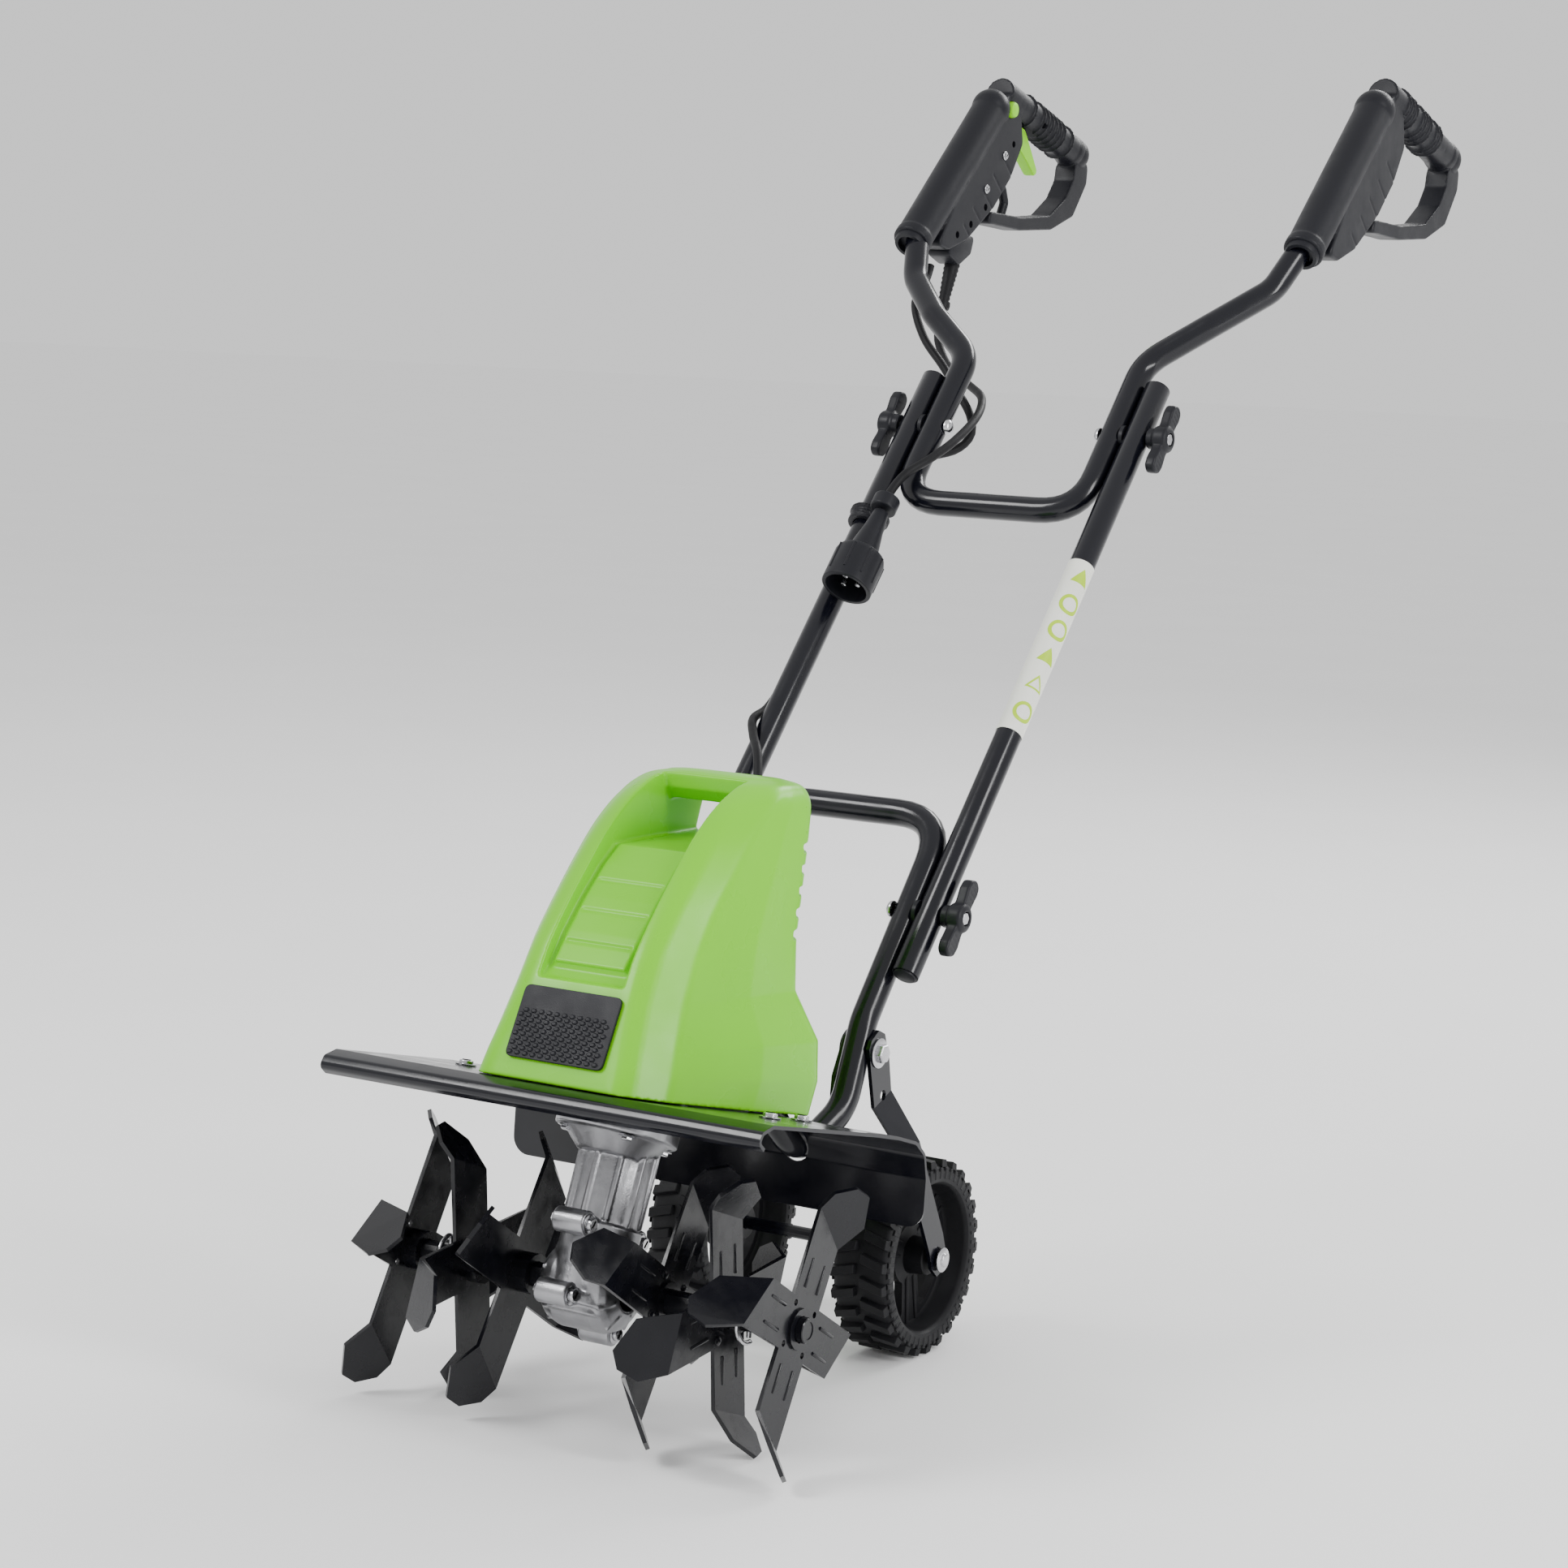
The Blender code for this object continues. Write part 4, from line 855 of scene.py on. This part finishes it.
def make_gearbox():
    body = rod(column(-22), column(110), COLUMN_RADIUS, 48, soft=0.6)
    dome = spun([(0, 10), (0.2, 14), (5, 24), (9, 28), (17, 31), (49, 31), (57, 28), (61, 24), (65.8, 14),
                 (66, 10)],
                (-33, 0, AXLE_Z), (1, 0, 0), 56)
    adds = [dome, rod(worm(104), worm(116), 44, 56, soft=1.2), rod(worm(90), worm(108), 24.5, 48, 42)]
    side_way = Vector((1, 0, 0))
    for along in (-12, 38):
        adds.append(rod(column(along - 4), column(along + 4), 29.4, 48, soft=0.8))
        for side in (-1, 1):
            spot = bolt_spot(along, side)
            adds.append(rod((-13, spot.y, spot.z), (13, spot.y, spot.z), 9, 28, soft=0.8))
            inner = column(along, -20 * side) if not (along < 0 and side > 0) else Vector((0, 6, AXLE_Z - 20))
            for x in (-8, 8):
                adds.append(rod((x, spot.y, spot.z), (x, inner.y, inner.z), 6, 16))
    for k in range(10):
        t = 2 * math.pi * k / 10 + 0.3
        out = side_way * math.cos(t) + (column(0, 1) - column(0)) * math.sin(t)
        adds.append(rod(column(44) + out * 27, column(102) + out * 27.6, 2.2, 8))
    for k in range(8):
        t = 2 * math.pi * k / 8 + 0.2
        out = Vector((0, math.cos(t), math.sin(t)))
        centre = Vector((0, 0, AXLE_Z))
        for face in (-1, 1):
            near, far = Vector((31 * face, 0, 0)), Vector((24 * face, 0, 0))
            adds.append(rod(centre + out * 17 + near, centre + out * 29 + far, 1.5, 8))
    seam = [rod(column(-20, reach), column(100, reach), 0.7, 8) for reach in (-25.9, 25.9)]
    cuts = [rod((-60, 0, AXLE_Z), (60, 0, AXLE_Z), 9.8, 40)] + seam
    cuts.append(rod((24, 0, AXLE_Z), (40, 0, AXLE_Z), 12.5, 40))
    cuts.append(rod((-40, 0, AXLE_Z), (-24, 0, AXLE_Z), 12.5, 40))
    made = moulded("gearbox_casting", body, adds, cuts, voxel=1.0, smooth=2, ratio=0.35)
    piece("gearbox_casting", made, "die_cast", "chassis", ["gearbox_left", "gearbox_right"])
    for number, (along, side) in enumerate(((-12, -1), (-12, 1), (38, -1), (38, 1)), 1):
        spot = bolt_spot(along, side)
        bolt_head(f"gearbox_screw_{number}", (13, spot.y, spot.z), (1, 0, 0), "chassis", 4.7, 3.0, "steel",
                  False,
                  [f"gearbox_bolt_{number}"])
        bolt_head(f"gearbox_nut_{number}", (-13, spot.y, spot.z), (-1, 0, 0), "chassis", 4.4, 2.4)
    for k in range(4):
        t = math.pi / 4 + math.pi / 2 * k
        spot = worm(103.2) + Vector((36 * math.cos(t), 0, 0)) + (worm(0, 1) - worm(0)) * (36 * math.sin(t))
        bolt_head(f"flange_screw_{k}", spot, worm(0) - worm(1), "chassis", 4.2, 2.6)
    for side, word in SIDES:
        seal = spun([(0, 9.6), (0, 12.3), (1.6, 12.3), (2.2, 11.2), (2.2, 9.6)], (side * 24.2, 0, AXLE_Z),
                    (side, 0, 0), 40, True)
        piece(f"axle_seal_{word}", seal, "rubber", "chassis")


# --- tines ---------------------------------------------------------------------------
def make_tines():
    for side, word in SIDES:
        for place in ("inner", "middle", "outer"):
            star = NODES[f"tine_{word}_{place}"]
            dress(star, "tine_paint")
            soften(star, 0.7, 2, 28)
    for side, end in ((-1, -164.4), (1, 176.4)):
        cap = spun([(0, 8.8), (0.6, 8.2), (0.6, 6.2), (-3.0, 5.6)], (end, 0, AXLE_Z), (side, 0, 0), 40)
        piece(f"axle_end_{'left' if side < 0 else 'right'}", cap, "tine_paint", "tine_shaft")
    for side, word in SIDES:
        for place, x, turn in zip(("inner", "middle", "outer"), STAR_X[side], STAR_TURN):
            for k in range(4):
                t = math.radians(turn + 45 + 90 * k)
                arm = math.radians(turn + 90 * k)
                out, across = (math.cos(arm), math.sin(arm)), (-math.sin(arm), math.cos(arm))
                for off in (-9, 9):
                    near, far = [Vector((side * (x + 1.2), r * out[0] + off * across[0],
                                         AXLE_Z + r * out[1] + off * across[1])) for r in (27, 48)]
                    piece(f"arm_rib_{word}_{place}_{k}_{off + 9}", rod(near, far, 1.5, 16, 1.2, soft=0.6),
                          "tine_paint", "tine_shaft")
                if place == "outer":
                    continue
                at = (side * (x + 1.5), 20.5 * math.cos(t), AXLE_Z + 20.5 * math.sin(t))
                piece(f"rivet_{word}_{place}_{k}", spun([(0, 3.4), (0.8, 3.2), (1.5, 2.2), (1.8, 0.8)], at,
                                                       (side, 0, 0), 20), "tine_paint", "tine_shaft")


def make_pins():
    for side, word in SIDES:
        x = side * (STAR_X[side][1] + PIN_GAP)
        ring = []
        for i in range(25):
            t = math.radians(-80 + 160 * i / 24)
            ring.append((x, -PIN_RADIUS * math.cos(t), AXLE_Z + PIN_RADIUS * math.sin(t)))
        path = [(x, 2.0, AXLE_Z - PIN_RADIUS)] + ring + [(x, 0.0, AXLE_Z + 15.0), (x, 0.0, AXLE_Z - 13.0)]
        piece(f"spring_pin_{word}", sweep(fillet(path, 3.0, 5), 1.8, 14), "steel", "tine_shaft",
              [f"hitch_pin_{word}"])


make_shield()
make_tubes()
make_sleeve()
make_fasteners()
make_gearbox()
make_tines()
make_pins()


# --- wheels --------------------------------------------------------------------------
def make_wheel(side, word):
    y, z = WHEEL
    x = side * WHEEL_X
    half = WHEEL_HALF
    tyre = [(-half + 1, 58), (-half, 61), (-half, 66), (-half + 2.5, 69.5), (-half + 6, 71), (half - 6, 71),
            (half - 2.5, 69.5), (half, 66), (half, 61), (half - 1, 58), (half - 3, 56.5), (half - 5, 56.0),
            (6, 55.5), (3.5, 54), (3.5, 20), (6, 14.5), (half - 3, 13.4), (half - 2, 12.4), (half - 2, 5.3),
            (-half + 2, 5.3), (-half + 2, 12.4), (-half + 3, 13.4), (-6, 14.5), (-3.5, 20), (-3.5, 54),
            (-6, 55.5),
            (-half + 5, 56.0), (-half + 3, 56.5)]
    bm = spun(tyre, (x, y, z), (1, 0, 0), 96, True)
    made = mesh_object("wheel_body", bm)
    cutters = []
    for k in range(3):
        mid = 97 + 120 * k
        outline = []
        for r, low, high in ((23, -30, 30), (49, 44, -44)):
            for s in range(9):
                t = math.radians(mid + low + (high - low) * s / 8)
                outline.append((y + r * math.cos(t), z + r * math.sin(t)))
        outline = [(p.x, p.y) for p in fillet([(a, b, 0) for a, b in outline], 4, 3, True)]
        cutters.append(plate(outline, x - 30, x + 30))
    made = cut_by(made, cutters, f"wheel_disc_{word}")
    piece(f"wheel_disc_{word}", made, "tyre", f"{word}_wheel", [f"wheel_{word}"], bevel=0.6)
    bm = bmesh.new()
    for k in range(26):
        for row, shift in ((-1, 0), (1, 0.5)):
            mid = 2 * math.pi * (k + shift) / 26
            low, high = [], []
            for a, b in ((-1, -1), (1, -1), (1, 1), (-1, 1)):
                skew = 0.035 * a * row
                for layer, r, t_half, xs in ((low, 69.2, 0.062, 1.0), (high, 75.0, 0.046, 0.9)):
                    t = mid + skew + b * t_half
                    qx = x + row * 12.4 + a * 10.8 * xs
                    layer.append((qx, y + r * math.cos(t), z + r * math.sin(t)))
            prism(bm, low, high)
    for k in range(52):
        mid = 2 * math.pi * k / 52
        for face in (-1, 1):
            rings = []
            for out, share in ((23.0, 1.0), (24.4, 0.7)):
                rings.append([(x + face * out, y + r * math.cos(mid + t * share),
                               z + r * math.sin(mid + t * share))
                              for r, t in ((60.5, -0.035), (69.0, -0.035), (69.0, 0.035), (60.5, 0.035))])
            prism(bm, *rings)
    piece(f"wheel_tread_{word}", bm, "tyre", f"{word}_wheel", bevel=0.5, smooth_angle=25, segments=2)
    for k in range(3):
        t = math.radians(37 + 120 * k)
        c, s = math.cos(t), math.sin(t)
        for face in (-1, 1):
            ribs = []
            for off in (-7, 7):
                a = (x + face * 3.5, y + 16 * c - off * 0.7 * s, z + 16 * s + off * 0.7 * c)
                b = (x + face * 3.5, y + 54 * c - off * s, z + 54 * s + off * c)
                ribs.append(rod(a, b, 1.8, 14))
            for j, rib in enumerate(ribs):
                piece(f"wheel_rib_{word}_{k}_{face + 1}_{j}", rib, "tyre", f"{word}_wheel")


def make_carriage():
    y, z = WHEEL
    py, pz = CARRIAGE_PIVOT
    for side, word in SIDES:
        make_wheel(side, word)
        leg = NODES[f"wheel_leg_{word}"]
        dress(leg, "black_paint")
        soften(leg, 0.8, 3, 32)
        cap = spun([(0, 9.2), (1.0, 9.4), (1.6, 8.6), (2.0, 5.4), (3.2, 5.0), (3.6, 4.4), (3.8, 2.0)],
                   (side * 113.8, y, z), (side, 0, 0), 36)
        piece(f"axle_cap_{word}", cap, "steel", "wheel_carriage", [f"hub_cap_{word}"])
        bolt_head(f"carriage_screw_{word}", (side * 95.7, py, pz), (side, 0, 0), "chassis", 7.4, 4.6,
                  replaces=[f"carriage_bolt_{word}"])
        eye = spun([(0, 13), (0.8, 14), (7.2, 14), (8, 13), (8, 6.2), (0, 6.2)],
                   (side * (INNER_X - TUBE - 8.4), 236, 243), (side, 0, 0), 40, True)
        piece(f"pivot_eye_{word}", eye, "black_paint", "chassis")
        strap = soft_plate([(204, 205), (222, 210), (246, 246), (238, 258), (222, 256), (206, 226)],
                           *sorted((side * (INNER_X - TUBE - 4.2), side * (INNER_X - TUBE - 0.8))), 0.6, 6)
        piece(f"pivot_strap_{word}", strap, "black_paint", "chassis")
    dress(NODES["wheel_axle"], "black_paint")


# --- grips ---------------------------------------------------------------------------
FOOT, HEAD = Vector((0, 716, 843)), Vector((0, 846, 962))
BLOCK = [(742, 842), (762, 838), (795, 848), (842, 878), (872, 906), (893, 938), (886, 968), (866, 982),
         (835, 962)]


def make_grip(x, word, switch):
    inner = 1 if x < 0 else -1
    at = Vector((x, 0, 0))
    along = (HEAD - FOOT).normalized()
    sleeve = rod(FOOT + at, HEAD + at, 16.2, 48, soft=0.8)
    adds = [ball(HEAD + at + along * 6, 17.6, 32), soft_plate(BLOCK, x - 12.4, x + 12.4, 2.0, 7),
            rod((x, 866, 981), (x, 1016, 935), 14.2, 40), ball((x, 1016, 934.5), 15.4, 32),
            rod(FOOT + at, FOOT + at + along * 9, 17.0, 48, soft=1.2)]
    leg = [(1003, 926), (1030, 928), (1028, 908), (1003, 877), (960, 863), (900, 860), (836, 864), (840, 875),
           (900, 872), (956, 876), (986, 893), (1000, 910)]
    adds.append(soft_plate(leg, x - 10.4, x + 10.4, 2.4, 7))
    collar = Vector((x, 1004, 938.7))
    bar_way = Vector((0, 150, -46)).normalized()
    adds.append(rod(collar, collar + bar_way * 7, 15.2, 40, soft=0.8))
    cuts = []
    for k in range(13):
        start = Vector((x, 884 + 8.4 * k, 981 - 46 / 150 * (18 + 8.4 * k)))
        ring = spun([(-0.6, 13.8), (-0.6, 17), (0.6, 17), (0.6, 13.8)], start, bar_way, 40, True)
        cuts.append(ring)
    for k in range(5):
        for face in (-1, 1):
            a = Vector((x + face * 12.6, 786 + 17 * k, 862 + 15.5 * k))
            cuts.append(rod(a, a + Vector((0, 20, -17)), 1.1, 10))
    late = []
    if switch:
        late.append(plate([(872, 919), (911, 906), (934, 944), (918, 962), (874, 963)], x - 6.0, x + 6.0))
        late.append(rod((x + 0.8, 866, 966), (x + 30, 866, 966), 7.8, 36))
        late.append(rod((x + 8, 874, 936), (x + 30, 874, 936), 3.0, 20))
        for y, z in ((800, 862), (826, 878), (776, 852)):
            late.append(rod((x + 9, y, z), (x + 30, y, z), 3.2, 20))
        late.append(rod((x + 9, 930, 956), (x + 30, 930, 956), 2.6, 20))
    made = moulded(f"grip_shell_{word}", sleeve, adds, cuts, voxel=1.05, smooth=3, ratio=0.3, late_cuts=late)
    if switch:
        made.data.set_sharp_from_angle(angle=math.radians(45))
    piece(f"grip_shell_{word}", made, "black_plastic", "handlebar", [f"grip_{word}"])
    ferrule = spun([(0, 10.5), (0, 13.4), (3.5, 14.4), (7, 14.4), (7, 10.5)], FOOT + at - along * 5, along,
                   40, True)
    piece(f"grip_ferrule_{word}", ferrule, "black_plastic", "handlebar")
    if switch:
        for k, (y, z) in enumerate(((858, 925), (826, 894))):
            bolt_head(f"grip_screw_{k}", (x + inner * 12.3, y, z), (inner, 0, 0), "handlebar", 2.6, 1.2,
                      "steel", False)
        hook = fillet([(x + 2, 874, 873), (x + 3, 878, 884), (x + 3, 872, 897), (x + 3, 862, 901)], 6, 6)
        piece("cord_hook", sweep(hook, 4.2, 16), "black_plastic", "handlebar", bevel=0.4)
        lower = soft_plate([(764, 834), (786, 826), (806, 836), (812, 852), (790, 852), (768, 846)],
                           x - 11, x + 11, 2.0, 5)
        piece("switch_foot", lower, "black_plastic", "handlebar")


def make_controls():
    x = -GRIP_X
    finger = [(880, 953), (890, 957), (908, 951), (920, 936), (936, 914), (931, 910), (914, 923), (898, 934),
              (881, 940)]
    piece("trigger_blade", soft_plate(finger, x - 5.4, x + 5.4, 1.6, 5), "lime", "trigger_lever", ["trigger"])
    button = spun([(0, 7.1), (8.0, 7.2), (10.6, 7.0), (12.2, 6.2), (13.0, 4.2), (13.3, 1.6)],
                  (x + 4.6, 866, 966),
                  (1, 0, 0), 40)
    piece("lock_cap", button, "lime", "lock_key", ["lock_button"])


def make_electrics():
    head = RELIEF_HEAD
    way = Vector((0, -16, -42)).normalized()
    length = math.hypot(16, 42)
    profile = []
    for k in range(11):
        d = length * k / 10
        r = 7.8 - 2.9 * k / 10
        profile += [(d, r), (d + length / 22, r - (0.9 if k < 10 else 0))]
    profile = [(min(d, length), r) for d, r in profile][:-1] + [(length, 4.7)]
    piece("cord_guard", spun(profile, head, way, 32), "rubber", "handlebar", ["strain_relief"])
    ring = spun([(-3, 4.4), (-3, 6.2), (0, 6.6), (3, 6.2), (3, 4.4)], head + way * (length + 2), way, 32,
                True)
    piece("cord_ring", ring, "rubber", "handlebar")
    mouth = CUP_SEAT - TUBE_WAY * 18
    cup = spun([(0, 17.4), (0, 20.2), (0.8, 21), (30, 21), (34, 19.6), (36, 17), (38, 12.4), (46, 11.2),
                (60, 8.6),
                (78.6, 6.2), (79, 5.2), (79, 0.6), (26, 0.6), (26, 17.4)], mouth, TUBE_WAY, 56, True)
    piece("plug_inlet", cup, "black_plastic", "lower_handle", ["inlet_cup"], bevel=0.4)
    for k in range(9):
        t = 2 * math.pi * k / 9
        out = Vector((1, 0, 0)) * math.cos(t) + TUBE_FRONT * math.sin(t)
        piece(f"inlet_rib_{k}", rod(mouth + out * 20.6 + TUBE_WAY * 8, mouth + out * 20.6 + TUBE_WAY * 32,
                                    1.1, 12),
              "black_plastic", "lower_handle")
    for k in range(3):
        t = math.radians(90 + 120 * k)
        out = Vector((1, 0, 0)) * math.cos(t) + TUBE_FRONT * math.sin(t)
        pin = rod(mouth + TUBE_WAY * 6 + out * 7.5, mouth + TUBE_WAY * 26.5 + out * 7.5, 2.2, 24, soft=0.6)
        piece(f"inlet_pin_{k}", pin, "steel", "lower_handle")
    ribs = []
    for k in range(5):
        d = -5 + 2.5 * k
        ribs.append(spun([(d - 0.55, 14.6), (d - 0.55, 17), (d + 0.55, 17), (d + 0.55, 14.6)], CLIP_AT,
                         TUBE_WAY,
                         40, True))
    clip = moulded("clip_shell", rod(CLIP_AT - TUBE_WAY * 7, CLIP_AT + TUBE_WAY * 7, 15.6, 40, soft=0.8),
                   [rod(ARM - TUBE_WAY * 6, ARM + TUBE_WAY * 6, 11, 32, soft=0.8), rod(CLIP_AT, ARM, 5, 20)],
                   ribs + [rod(CLIP_AT - TUBE_WAY * 20, CLIP_AT + TUBE_WAY * 20, TUBE + 0.1, 40)],
                   voxel=0.6, smooth=2, ratio=0.4)
    piece("clip_shell", clip, "black_plastic", "lower_handle", ["cable_clip"])


def dress_hidden_nodes():
    looks = {"motor_can": "steel", "motor_stator": "steel", "motor_rotor": "steel", "worm_shaft": "steel",
             "worm_bearing": "steel", "axle_bearing_left": "steel", "axle_bearing_right": "steel",
             "worm_wheel": "bronze", "motor_fan": "black_plastic", "tine_axle": "tine_paint"}
    for name, mat in looks.items():
        dress(NODES[name], mat)


make_carriage()
make_grip(-GRIP_X, "left", True)
make_grip(GRIP_X, "right", False)
make_controls()
make_electrics()
dress_hidden_nodes()
